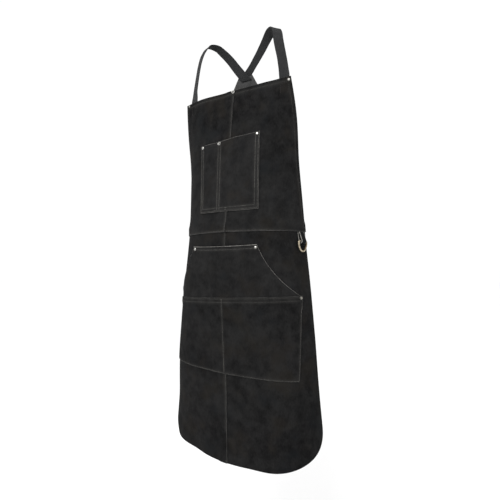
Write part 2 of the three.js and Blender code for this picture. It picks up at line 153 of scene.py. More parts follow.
@dataclass
class Spot:
    """Flat positions on the leather and how far they stand off the form, in millimetres."""

    across: Array
    drop: Array
    out: Array
    press: Array | float = 0.0


@dataclass
class Lay:
    """Where the vertices of a grid go: points in metres, flat positions in millimetres, pressing, and tone
    with painted shade.
    """

    points: Array
    across: Array
    along: Array
    press: Array | float = 0.0
    tone: Array | float = 0.0


@dataclass(frozen=True)
class Band:
    """Widths of the pale cut edge that shows on the face of a sheet, in millimetres."""

    top: float = 0.5
    bottom: float = 0.5
    right: float = 0.5
    left: float = 0.5


@dataclass(frozen=True)
class Groove:
    """Hollow that a row of stitches presses into the leather, in millimetres."""

    depth: float
    reach: float = 2.0
    press_reach: float = 3.6

    def hollow(self, distance: Array) -> Array:
        """Depth at a distance from the stitches."""
        return self.depth * np.exp(-((distance / self.reach) ** 2))

    def press(self, distance: Array) -> Array:
        """How flat the nap is pressed at a distance from the stitches, 0 to 1."""
        return np.exp(-((distance / self.press_reach) ** 2))


@dataclass
class WornForm:
    """The form that the apron takes on the body: a section at each level, bent round the torso."""

    shoulder_rise: float = 175.0
    length: float = 914.0
    steps: int = 24
    ripple: float = 1.1
    ripple_reach: float = 95.0
    ripple_stretch: float = 1.6
    ripple_slice: float = 3.7
    levels: tuple[Level, ...] = (
        Level(0, 162, 14, 0.3, 82),
        Level(90, 176, 38, 0.45, 95),
        Level(200, 188, 63, 0.55, 107),
        Level(360, 218, 88, 0.55, 120),
        Level(520, 239, 90, 0.6, 127),
        Level(700, 249, 92, 0.8, 117),
        Level(914, 264, 90, 0.7, 111),
    )
    folds: tuple[Fold, ...] = (
        Fold(-72, 24, 60, 80, 0, 8),
        Fold(70, 70, 34, 110, -8, -3),
        Fold(-120, 878, 90, 26, 24, -5),
        Fold(-200, 860, 55, 48, 0, 9),
        Fold(150, 850, 42, 120, 10, 5),
    )
    creases: tuple[Fold, ...] = (
        Fold(-62, 66, 9, 34, 6, -1.6),
        Fold(-118, 60, 12, 48, -6, -1.4),
        Fold(118, 150, 14, 70, 12, -1.6),
        Fold(-40, 820, 20, 90, 12, 2.4),
        Fold(60, 830, 18, 80, -8, -2.2),
        Fold(205, 640, 16, 120, 4, -2.0),
        Fold(-150, 340, 30, 14, 10, 1.6),
    )

    def level(self, drop: Array) -> tuple[Array, Array, Array, Array]:
        """Section values at drops, on a smooth curve through the levels.

        Args:
            drop: Distances below the bib's top edge.

        Returns:
            Half width, side turn in radians, flatness and front distance.
        """
        at = np.array([level.drop for level in self.levels])
        rows = np.array(
            [[level.half, math.radians(level.turn), level.flat, level.front] for level in self.levels]
        )
        slope = np.diff(rows, axis=0) / np.diff(at)[:, None]
        tangent = np.vstack([slope[:1], (slope[1:] + slope[:-1]) / 2, slope[-1:]])
        d = np.clip(np.asarray(drop, float), at[0], at[-1])
        k = np.clip(np.searchsorted(at, d, side="right") - 1, 0, len(at) - 2)
        step = at[k + 1] - at[k]
        t = ((d - at[k]) / step)[..., None]
        span = step[..., None]
        value = hermite(t, rows[k], span * tangent[k], rows[k + 1], span * tangent[k + 1])
        return value[..., 0], value[..., 1], value[..., 2], value[..., 3]

    def half(self, drop: Array) -> Array:
        """Half of the flat width at drops."""
        return self.level(drop)[0]

    def heading(self, across: Array, drop: Array) -> Array:
        """Turn of the sheet from the front at flat positions, in radians."""
        half, turn, flat, _ = self.level(drop)
        share = across / half
        return turn * ((1 - flat) * share + flat * share**3)

    def relief(self, across: Array, drop: Array) -> Array:
        """Folds, creases and slow ripples of the leather at flat positions."""
        height = np.zeros_like(np.asarray(across, float))
        for fold in (*self.folds, *self.creases):
            height = height + fold.raise_at(across, drop)
        slow = [
            noise.noise(Vector((u, v / self.ripple_stretch, self.ripple_slice)))
            for u, v in zip(np.ravel(across) / self.ripple_reach, np.ravel(drop) / self.ripple_reach)
        ]
        return height + self.ripple * np.reshape(slow, np.shape(across))

    def place(self, spot: Spot) -> Array:
        """Points in the row frame, in metres.

        Args:
            spot: Flat positions and their stand-off.

        Returns:
            An array of points.
        """
        across, drop = np.asarray(spot.across, float), np.asarray(spot.drop, float)
        half, turn, flat, front = (value[..., None] for value in self.level(drop))
        middles = across[..., None] * (np.arange(self.steps) + 0.5) / self.steps
        share = middles / half
        bend = turn * ((1 - flat) * share + flat * share**3)
        step = across / self.steps
        x = np.cos(bend).sum(-1) * step
        y = np.sin(bend).sum(-1) * step - front[..., 0]
        heading = self.heading(across, drop)
        raised = spot.out + self.relief(across, drop)
        points = np.stack(
            [x + np.sin(heading) * raised, y - np.cos(heading) * raised, -self.shoulder_rise - drop], -1
        )
        return points * MM

    def point(self, across: float, drop: float, out: float) -> Vector:
        """One point of the form in the row frame, in metres."""
        spot = Spot(np.array([across]), np.array([drop]), np.array([out]))
        return Vector(self.place(spot)[0])

    def facing(self, across: float, drop: float, lift: Lift, reach: float = 3.0) -> Vector:
        """Outward direction of a lifted surface at a flat position.

        Args:
            across: Position across.
            drop: Distance below the bib's top edge.
            lift: Stand-off of the surface.
            reach: Half of the distance over which it is measured.

        Returns:
            A unit vector.
        """
        across_at = np.array([across + reach, across - reach, across, across])
        drop_at = np.array([drop, drop, drop + reach, drop - reach])
        spots = self.place(Spot(across_at, drop_at, lift(across_at, drop_at)))
        points = [Vector(spot) for spot in spots]
        return (points[2] - points[3]).cross(points[0] - points[1]).normalized()


# Shader expressions


@dataclass(frozen=True)
class Shade:
    """A number socket that Python operators work on."""

    kit: "NodeKit"
    socket: bpy.types.NodeSocket

    def _math(self, operation: str, a: "Shade | float", b: "Shade | float") -> "Shade":
        """A Math node on two values."""
        return self.kit.number("ShaderNodeMath", {"operation": operation}, {0: a, 1: b})

    def __add__(self, other: "Shade | float") -> "Shade":
        """Sum."""
        return self._math("ADD", self, other)

    def __radd__(self, other: float) -> "Shade":
        """Sum with a number first."""
        return self._math("ADD", other, self)

    def __rsub__(self, other: float) -> "Shade":
        """Difference from a number."""
        return self._math("SUBTRACT", other, self)

    def __mul__(self, other: "Shade | float") -> "Shade":
        """Product."""
        return self._math("MULTIPLY", self, other)

    def __rmul__(self, other: float) -> "Shade":
        """Product with a number first."""
        return self._math("MULTIPLY", other, self)

    def wave(self) -> "Shade":
        """Sine of the value, in radians."""
        return self._math("SINE", self, 0.0)

    def clamp(self, low: float, high: float) -> "Shade":
        """Value mapped from low..high to 0..1, smooth at both ends."""
        settings = {"interpolation_type": "SMOOTHSTEP"}
        return self.kit.number("ShaderNodeMapRange", settings, {0: self, 1: low, 2: high})


class NodeKit:
    """The node tree of one material."""

    def __init__(self, name: str) -> None:
        """Starts an empty material."""
        self.material = bpy.data.materials.new(name)
        self.material.use_nodes = True
        self.tree = self.material.node_tree
        self.tree.nodes.clear()

    def node(self, kind: str, settings: dict | None = None, sockets: dict | None = None) -> bpy.types.Node:
        """Adds a node.

        Args:
            kind: The node's type.
            settings: Its properties.
            sockets: Values or links of its inputs, by name or number.

        Returns:
            The node.
        """
        made = self.tree.nodes.new(kind)
        for key, value in (settings or {}).items():
            setattr(made, key, value)
        for key, value in (sockets or {}).items():
            target = made.inputs[key]
            if isinstance(value, Shade):
                self.tree.links.new(value.socket, target)
            elif isinstance(value, bpy.types.NodeSocket):
                self.tree.links.new(value, target)
            else:
                target.default_value = value
        return made

    def number(self, kind: str, settings: dict | None = None, sockets: dict | None = None) -> Shade:
        """Adds a node and wraps its first output."""
        return Shade(self, self.node(kind, settings, sockets).outputs[0])

    def attribute(self, name: str) -> Shade:
        """A number that the vertices of the piece carry."""
        return Shade(self, self.node("ShaderNodeAttribute", {"attribute_name": name}).outputs["Fac"])

    def object_space(
        self, scale: Triple = (1.0, 1.0, 1.0), turn: Triple = (0.0, 0.0, 0.0)
    ) -> bpy.types.NodeSocket:
        """Object coordinates, stretched and turned by a Mapping node."""
        source = self.node("ShaderNodeTexCoord").outputs["Object"]
        sockets = {"Vector": source, "Scale": scale, "Rotation": turn}
        return self.node("ShaderNodeMapping", None, sockets).outputs[0]

    def flat_space(self) -> tuple[Shade, Shade]:
        """The piece's own flat coordinates, in metres."""
        uv = self.node("ShaderNodeUVMap", {"uv_map": "flat"}).outputs[0]
        split = self.node("ShaderNodeSeparateXYZ", None, {0: uv})
        return Shade(self, split.outputs[0]), Shade(self, split.outputs[1])

    def grain(
        self, vector: bpy.types.NodeSocket, scale: float, detail: float, roughness: float = 0.55
    ) -> Shade:
        """A noise between 0 and 1."""
        sockets = {"Vector": vector, "Scale": scale, "Detail": detail, "Roughness": roughness}
        return self.number("ShaderNodeTexNoise", None, sockets)

    def blend(
        self,
        share: Shade | float,
        a: bpy.types.NodeSocket | Colour,
        b: bpy.types.NodeSocket | Colour,
    ) -> bpy.types.NodeSocket:
        """Mix of two colours."""
        a, b = ((*c, 1.0) if isinstance(c, tuple) else c for c in (a, b))
        return self.node("ShaderNodeMix", {"data_type": "RGBA"}, {0: share, 6: a, 7: b}).outputs[2]

    def bump(self, height: Shade, distance: float) -> bpy.types.NodeSocket:
        """A normal from a height."""
        return self.node("ShaderNodeBump", None, {"Height": height, "Distance": distance}).outputs[0]

    def surface(self, sockets: dict) -> bpy.types.Material:
        """Closes the tree with a Principled shader."""
        shader = self.node("ShaderNodeBsdfPrincipled", None, sockets)
        self.node("ShaderNodeOutputMaterial", None, {0: shader.outputs[0]})
        return self.material


# Finishes


@dataclass(frozen=True)
class SuedeFinish:
    """Mottled split suede with a short nap."""

    name: str
    dark: Colour
    light: Colour
    warm: Colour
    cool: Colour
    pressed: Colour
    nap_depth: float = 0.0005
    sheen: float = 0.006

    def make(self) -> bpy.types.Material:
        """Builds the material."""
        kit = NodeKit(self.name)
        space = kit.object_space()
        clouds = kit.grain(space, 11.0, 3.0)
        mottle = kit.grain(space, 46.0, 4.0, 0.6)
        fibre = kit.grain(space, 1500.0, 2.0)
        nap = kit.grain(kit.object_space((1.0, 1.0, 0.35), (0.3, 0.0, 0.2)), 420.0, 3.0, 0.6)
        tint = kit.grain(kit.object_space(turn=(0.6, 0.2, 0.9)), 17.0, 2.0)
        # Tone of each piece: a real difference between pieces, and painted light and shade from top to bottom
        # of the bib and the skirt.
        piece = kit.attribute("tone")
        tone = (clouds * 0.3 + mottle * 0.45 + nap * 0.25).clamp(0.31, 0.69)
        base = kit.blend(tone + piece, self.dark, self.light)
        warmed = kit.blend(tint.clamp(0.52, 0.72) * 0.4, base, self.warm)
        cooled = kit.blend((1.0 - tint).clamp(0.54, 0.74) * 0.5, warmed, self.cool)
        fuzzed = kit.blend(0.35 * fibre.clamp(0.35, 0.75), cooled, self.light)
        press = kit.attribute("press")
        brushed = kit.blend(press * (0.2 + 0.5 * mottle), fuzzed, self.pressed)
        height = fibre * 0.45 + nap * 0.4 + mottle * 0.5
        return kit.surface(
            {
                "Base Color": brushed,
                "Roughness": 0.86 + 0.12 * nap,
                "Normal": kit.bump(height, self.nap_depth),
                "Sheen Weight": self.sheen,
                "Sheen Roughness": 0.5,
                "Specular IOR Level": 0.04,
            }
        )


@dataclass(frozen=True)
class CutEdgeFinish:
    """Cut edge of the leather, paler where the fibres are open and the dye has rubbed off."""

    name: str
    dark: Colour
    pale: Colour

    def make(self) -> bpy.types.Material:
        """Builds the material."""
        kit = NodeKit(self.name)
        space = kit.object_space()
        wear = (kit.grain(space, 60.0, 3.0) * 0.6 + kit.grain(space, 700.0, 2.0) * 0.4).clamp(0.35, 0.65)
        return kit.surface(
            {
                "Base Color": kit.blend(wear, self.dark, self.pale),
                "Roughness": 0.9 - 0.1 * wear,
                "Normal": kit.bump(kit.grain(space, 1800.0, 2.0), 0.0004),
            }
        )


@dataclass(frozen=True)
class WebbingFinish:
    """Woven webbing: two rows of slanted picks that meet in the middle of each rib."""

    name: str
    dark: Colour
    light: Colour
    rib: float = 0.0036
    pick: float = 0.0016

    def make(self) -> bpy.types.Material:
        """Builds the material."""
        kit = NodeKit(self.name)
        across, along = kit.flat_space()
        turn = 2.0 * math.pi
        ribs = (across * (turn / self.rib)).wave()
        slant = ribs * 0.9
        picks = (along * (turn / self.pick) + slant * 1.8).wave()
        weave = (picks * 0.5 + 0.5) * 0.65 + (ribs * 0.5 + 0.5) * 0.35
        wear = kit.grain(kit.object_space(), 70.0, 3.0)
        fuzz = kit.grain(kit.object_space(), 2200.0, 2.0)
        tone = (weave * 0.7 + fuzz * 0.3).clamp(0.15, 0.85)
        cloth = kit.blend(tone, self.dark, self.light)
        return kit.surface(
            {
                "Base Color": kit.blend(0.3 * wear.clamp(0.4, 0.7), cloth, self.light),
                "Roughness": 0.92 - 0.12 * weave,
                "Normal": kit.bump(weave + fuzz * 0.4, 0.0006),
                "Sheen Weight": 0.04,
                "Sheen Roughness": 0.4,
                "Specular IOR Level": 0.12,
            }
        )


@dataclass(frozen=True)
class ThreadFinish:
    """Sewing thread, a little dirty along the seams."""

    name: str
    dark: Colour
    light: Colour

    def make(self) -> bpy.types.Material:
        """Builds the material."""
        kit = NodeKit(self.name)
        space = kit.object_space()
        dirt = (kit.grain(space, 24.0, 3.0) * 0.7 + kit.grain(space, 900.0, 1.0) * 0.3).clamp(0.36, 0.64)
        twist = kit.grain(space, 2600.0, 1.0)
        return kit.surface(
            {
                "Base Color": kit.blend(dirt, self.dark, self.light),
                "Roughness": 0.75 + 0.15 * twist,
                "Normal": kit.bump(twist, 0.0002),
            }
        )


@dataclass(frozen=True)
class MetalFinish:
    """Plated metal with fine scratches and tarnish."""

    name: str
    bright: Colour
    tarnish: Colour
    amount: float
    polish: float

    def make(self) -> bpy.types.Material:
        """Builds the material."""
        kit = NodeKit(self.name)
        space = kit.object_space()
        patches = kit.grain(space, 160.0, 4.0, 0.65)
        scratches = kit.grain(kit.object_space((1.0, 1.0, 9.0), (0.5, 0.3, 0.0)), 900.0, 2.0)
        worn = (patches * 0.8 + scratches * 0.2).clamp(0.62 - self.amount, 0.72)
        return kit.surface(
            {
                "Base Color": kit.blend(worn, self.bright, self.tarnish),
                "Metallic": 1.0 - 0.25 * worn,
                "Roughness": self.polish + 0.35 * worn + 0.08 * scratches,
                "Normal": kit.bump(scratches, 0.00005),
            }
        )


@dataclass
class Finishes:
    """All the finishes of the apron."""

    suede: bpy.types.Material = field(
        default_factory=SuedeFinish(
            "black_suede",
            dark=(0.0024, 0.0024, 0.0026),
            light=(0.0152, 0.015, 0.015),
            warm=(0.0145, 0.0122, 0.0095),
            cool=(0.0068, 0.0079, 0.0091),
            pressed=(0.027, 0.0262, 0.0248),
        ).make
    )
    grey: bpy.types.Material = field(
        default_factory=SuedeFinish(
            "grey_patch_leather",
            dark=(0.024, 0.024, 0.024),
            light=(0.056, 0.056, 0.056),
            warm=(0.05, 0.047, 0.044),
            cool=(0.032, 0.035, 0.038),
            pressed=(0.08, 0.08, 0.08),
        ).make
    )
    pale_edge: bpy.types.Material = field(
        default_factory=CutEdgeFinish("pale_cut_edge", (0.08, 0.077, 0.071), (0.22, 0.212, 0.195)).make
    )
    edge: bpy.types.Material = field(
        default_factory=CutEdgeFinish("cut_edge", (0.022, 0.021, 0.0195), (0.085, 0.082, 0.075)).make
    )
    dyed_edge: bpy.types.Material = field(
        default_factory=CutEdgeFinish("dyed_cut_edge", (0.008, 0.0079, 0.0075), (0.04, 0.0388, 0.036)).make
    )
    webbing: bpy.types.Material = field(
        default_factory=WebbingFinish("grey_webbing", (0.006, 0.0062, 0.0066), (0.028, 0.0286, 0.0296)).make
    )
    thread: bpy.types.Material = field(
        default_factory=ThreadFinish("seam_thread", (0.035, 0.034, 0.0315), (0.14, 0.135, 0.124)).make
    )
    dark_thread: bpy.types.Material = field(
        default_factory=ThreadFinish("dark_thread", (0.01, 0.0098, 0.0092), (0.042, 0.04, 0.036)).make
    )
    nickel: bpy.types.Material = field(
        default_factory=MetalFinish(
            "nickel_plate", (0.46, 0.452, 0.43), (0.15, 0.145, 0.134), 0.14, 0.25
        ).make
    )
    dull: bpy.types.Material = field(
        default_factory=MetalFinish("dulled_nickel", (0.3, 0.29, 0.25), (0.09, 0.085, 0.07), 0.2, 0.36).make
    )
    bore: bpy.types.Material = field(
        default_factory=MetalFinish(
            "dark_bore", (0.035, 0.034, 0.032), (0.012, 0.0115, 0.011), 0.15, 0.5
        ).make
    )
    # Painted reflection: dark metal on the outer ring of plain caps, standing in for the dark leather they
    # reflect.
    rim: bpy.types.Material = field(
        default_factory=MetalFinish("painted_dark_rim_reflection", (0.17, 0.165, 0.15), (0.05, 0.048, 0.043), 0.2, 0.4).make
    )
    brass: bpy.types.Material = field(
        default_factory=MetalFinish(
            "antique_brass_plate", (0.52, 0.455, 0.345), (0.13, 0.1, 0.062), 0.28, 0.26
        ).make
    )
    # Painted reflection: dark brown brass on the D ring's inner faces, standing in for the dark leather they
    # reflect.
    painted_reflection_brass: bpy.types.Material = field(
        default_factory=MetalFinish(
            "brass_with_painted_reflection", (0.11, 0.08, 0.045), (0.035, 0.024, 0.012), 0.2, 0.45
        ).make
    )


# Making of pieces


@dataclass(frozen=True)
class Edges:
    """Border cells of a grid, as shares of its width and length."""

    right: float
    left: float
    top: float
    bottom: float

    @staticmethod
    def _squeeze(share: Array, cells: int, first: float, last: float) -> Array:
        """Shares with the first and last cells squeezed."""
        cell = 1.0 / cells
        squeezed = (0, first or cell, 1.0 - (last or cell), 1.0)
        return np.interp(share * cells, (0, 1, cells - 1, cells), squeezed)

    def across(self, share: Array, columns: int) -> Array:
        """Squeezed shares across."""
        return self._squeeze(share, columns, self.right, self.left)

    def along(self, share: Array, rows: int) -> Array:
        """Squeezed shares along."""
        return self._squeeze(share, rows, self.top, self.bottom)

    def holds(self, column: float, columns: int, row: float, rows: int) -> bool:
        """Whether a cell lies on a border that has a band."""
        return bool(
            (self.right and column < 1)
            or (self.left and column > columns - 1)
            or (self.top and row < 1)
            or (self.bottom and row > rows - 1)
        )


@dataclass(frozen=True)
class Cut:
    """How one sheet of leather is cut and finished.

    The CAD node that it stands for, faces across and down, what carries it, the finish of its cut edges, the
    tone of the suede at its top and bottom, and the cut edges that show on its face. The tone is partly a
    real difference between pieces and partly painted light and shade, from the top to the bottom of a piece.
    """

    node: str
    cells: tuple[int, int]
    hangs_from: tuple[str, ...]
    edge: bpy.types.Material
    tone: tuple[float, float]
    band: Band = Band()


@dataclass
class Workshop:
    """Turns bmeshes into pieces of the apron."""

    form: WornForm
    finishes: Finishes
    smooth_below: float = 42.0
    round_above: float = 60.0
    round_steps: int = 2
    rounding: float = 0.35

    def piece(
        self,
        name: str,
        bm: bmesh.types.BMesh,
        materials: Sequence[bpy.types.Material],
        stock: Stock | None,
        nodes: Sequence[str] = (),
        body: str = BODY,
    ) -> bpy.types.Object:
        """Makes an object of a bmesh and ties it to the frame.

        Args:
            name: The piece's name.
            bm: Its mesh, which is freed.
            materials: Its material slots.
            stock: The record's slot for its finish; not used.
            nodes: CAD nodes that it stands for.
            body: The CAD body that it rides on.

        Returns:
            The object.
        """
        mesh = bpy.data.meshes.new(name)
        bm.to_mesh(mesh)
        bm.free()
        for polygon in mesh.polygons:
            polygon.use_smooth = True
        mesh.set_sharp_from_angle(angle=math.radians(self.smooth_below))
        for material in materials:
            mesh.materials.append(material)
        made = bpy.data.objects.new(name, mesh)
        bpy.context.scene.collection.objects.link(made)
        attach(made, body)
        if nodes:
            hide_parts(*nodes)
        LOG.info("%s: %d faces", name, len(mesh.polygons))
        return made

    def grid(
        self, columns: int, rows: int, lay: Callable[[Array, Array], Lay], edges: Edges | None = None
    ) -> bmesh.types.BMesh:
        """A grid whose vertices are laid where a function of their shares says.

        Args:
            columns: Faces across.
            rows: Faces along.
            lay: Gives the places of shares across and along.
            edges: Shares of the border cells, which take the second material.

        Returns:
            The bmesh, with its flat coordinates as a UV map, and the pressing and the tone with its painted
            shade as attributes.
        """
        bm = bmesh.new()
        bmesh.ops.create_grid(bm, x_segments=columns, y_segments=rows, size=0.5)
        bm.verts.ensure_lookup_table()
        across = np.array([vert.co.x + 0.5 for vert in bm.verts])
        along = np.array([0.5 - vert.co.y for vert in bm.verts])
        if edges:
            for face in bm.faces:
                middle = face.calc_center_median()
                column, row = (middle.x + 0.5) * columns, (0.5 - middle.y) * rows
                face.material_index = int(edges.holds(column, columns, row, rows))
            across = edges.across(across, columns)
            along = edges.along(along, rows)
        laid = lay(across, along)
        press, tone = (np.broadcast_to(value, across.shape) for value in (laid.press, laid.tone))
        flat = bm.loops.layers.uv.new("flat")
        pressing = bm.verts.layers.float.new("press")
        tone_and_shade_layer = bm.verts.layers.float.new("tone")
        for k, vert in enumerate(bm.verts):
            vert.co = laid.points[k]
            vert[pressing] = press[k]
            vert[tone_and_shade_layer] = tone[k]
        for face in bm.faces:
            for loop in face.loops:
                k = loop.vert.index
                loop[flat].uv = (laid.across[k] * MM, laid.along[k] * MM)
        bm.normal_update()
        return bm

    def thicken(self, made: bpy.types.Object, thickness: float, rounding: float, rim: bool) -> None:
        """Gives a sheet its thickness towards the body and rounds its cut edges.

        Args:
            made: The sheet.
            thickness: In millimetres.
            rounding: Radius of the edges in millimetres.
            rim: Whether the cut edge takes the second material.
        """
        wall = made.modifiers.new("thickness", "SOLIDIFY")
        wall.thickness = thickness * MM
        wall.offset = -1.0
        wall.use_even_offset = True
        wall.material_offset_rim = 1 if rim else 0
        edge = made.modifiers.new("rounding", "BEVEL")
        edge.width = rounding * MM
        edge.segments = self.round_steps
        edge.limit_method = "ANGLE"
        edge.angle_limit = math.radians(self.round_above)

    def leather(self, cut: Cut, place: Place) -> None:
        """A cut sheet of leather on the worn form, in the place of its CAD node.

        Args:
            cut: How it is cut and finished.
            place: Gives the outer face's spots from shares across and down.
        """
        ends = np.array([0.0, 1.0, 0.5, 0.5]), np.array([0.5, 0.5, 0.0, 1.0])
        probe = place(*ends)
        width = float(abs(probe.across[1] - probe.across[0]))
        length = float(abs(probe.drop[3] - probe.drop[2]))
        band = cut.band
        edges = Edges(band.right / width, band.left / width, band.top / length, band.bottom / length)
        spots: list[Spot] = []

        def lay(across: Array, along: Array) -> Lay:
            """Lays the grid on the form."""
            spot = place(across, along)
            spots.append(spot)
            # The tone mixes from a piece's top to its bottom: on the bib and the skirt this change is painted
            # light and shade.
            return Lay(self.form.place(spot), spot.across, spot.drop, spot.press, mix(*cut.tone, along**2))

        bm = self.grid(*cut.cells, lay, edges)
        area = 0.0
        for face in bm.faces:
            flat = [(spots[0].across[v.index], spots[0].drop[v.index]) for v in face.verts]
            area += abs(sum(a[0] * b[1] - b[0] * a[1] for a, b in zip(flat, flat[1:] + flat[:1]))) / 2
        wide = float(np.ptp(spots[0].across)) * MM
        long = float(np.ptp(spots[0].drop)) * MM
        finishes = (self.finishes.suede, cut.edge)
        made = self.piece(cut.node + "_leather", bm, finishes, Stock.SUEDE, (cut.node,))
        self.thicken(made, LEATHER, self.rounding, True)
        area * MM * MM


@dataclass
class Seam:
    """A row of stitches on a lifted surface."""

    across: Array
    drop: Array
    lift: Lift


@dataclass
class Stitching:
    """Thread of the seams: one slim bead for each stitch."""

    shop: Workshop
    finish: bpy.types.Material
    pitch: float = 3.4
    length: float = 2.6
    thread: float = 0.75
    raised: float = 0.12
    probe: float = 0.5
    bead_sides: int = 6
    bead_rings: int = 4

    def sew(self, name: str, seams: Sequence[Seam]) -> None:
        """Sews seams on the leather into one piece.

        Args:
            name: The piece's name.
            seams: The rows of stitches.
        """
        form = self.shop.form
        lines = []
        for seam in seams:
            lift = seam.lift(seam.across, seam.drop) + self.raised
            line = form.place(Spot(seam.across, seam.drop, lift))
            lines.append((line, form.place(Spot(seam.across, seam.drop, lift + 1.0)) - line))
        self.sew_lines(name, lines)

    def sew_lines(self, name: str, lines: Sequence[tuple[Array, Array]]) -> None:
        """Sews rows of stitches along lines in space into one piece.

        Args:
            name: The piece's name.
            lines: Points in metres and the outward directions at them.
        """
        total = bmesh.new()
        scratch = bpy.data.meshes.new(name + "_row")
        for line, above in lines:
            row = bmesh.new()
            self._row(row, line, above)
            row.to_mesh(scratch)
            row.free()
            total.from_mesh(scratch)
        bpy.data.meshes.remove(scratch)
        self.shop.piece(name, total, (self.finish,), None)

    def _row(self, bm: bmesh.types.BMesh, line: Array, above: Array) -> None:
        """Adds the beads of one row."""
        run = run_along(line)
        count = max(2, int(run[-1] / (self.pitch * MM)))
        at = (np.arange(count) + 0.5) / count * run[-1]
        size = Matrix.Diagonal((self.length / 2 * MM, self.thread / 2 * MM, self.thread / 2 * MM, 1.0))
        near = self.probe * MM
        for place in at:
            looks = ((place, line), (place + near, line), (place - near, line), (place, above))
            middle, ahead, behind, up = (
                Vector([np.interp(where, run, source[:, k]) for k in range(3)]) for where, source in looks
            )
            x = (ahead - behind).normalized()
            z = (up - x * up.dot(x)).normalized()
            turn = Matrix((x, z.cross(x), z)).transposed().to_4x4()
            bmesh.ops.create_uvsphere(
                bm,
                u_segments=self.bead_sides,
                v_segments=self.bead_rings,
                radius=1.0,
                matrix=Matrix.Translation(middle) @ turn @ size,
            )


# Pieces of the apron


@dataclass
class Laps:
    """Where one piece lies over another, in millimetres."""

    leather: float = LEATHER
    gap: float = 0.3
    centre_edge: float = 11.5
    centre_under: float = -3.5
    waist_edge: float = 364.0
    waist_under: float = 350.0
    clear: float = 2.0
    centre_blend: float = 12.0
    waist_blend: float = 14.0
    pocket_gap: float = 0.6
    pocket_margin: float = 16.0
    tail_right: float = -129.5
    tail_left: float = 145.5

    @property
    def layer(self) -> float:
        """One layer of leather and the gap under it."""
        return self.leather + self.gap

    def centre(self, across: Array) -> Array:
        """Share of a layer that the right panel rises to lie over the left one."""
        full = self.centre_under - self.clear
        return ease(across, full - self.centre_blend, full)

    def cross(self, across: Array) -> Array:
        """Share of a layer that is left on the left side of the centre lap."""
        full = self.centre_edge + self.clear
        return 1.0 - ease(across, full, full + self.centre_blend)

    def waist(self, drop: Array) -> Array:
        """Share of a layer that the bib rises to lie over the skirt."""
        full = self.waist_under - self.clear
        return ease(drop, full - self.waist_blend, full)

    def over_centre(self, across: Array) -> Array:
        """Share of a layer that a pocket rises over the centre lap."""
        return self.centre(across + self.pocket_margin) * self.cross(across - self.pocket_margin)

    def tail(self, side: Side) -> float:
        """Position across of a shoulder strap's tail behind the bib."""
        return self.tail_left if side is Side.LEFT else self.tail_right

    def pocket(self, across: Array) -> Array:
        """Stand-off of a pocket's inner face."""
        return self.leather + self.pocket_gap + self.over_centre(across) * self.layer


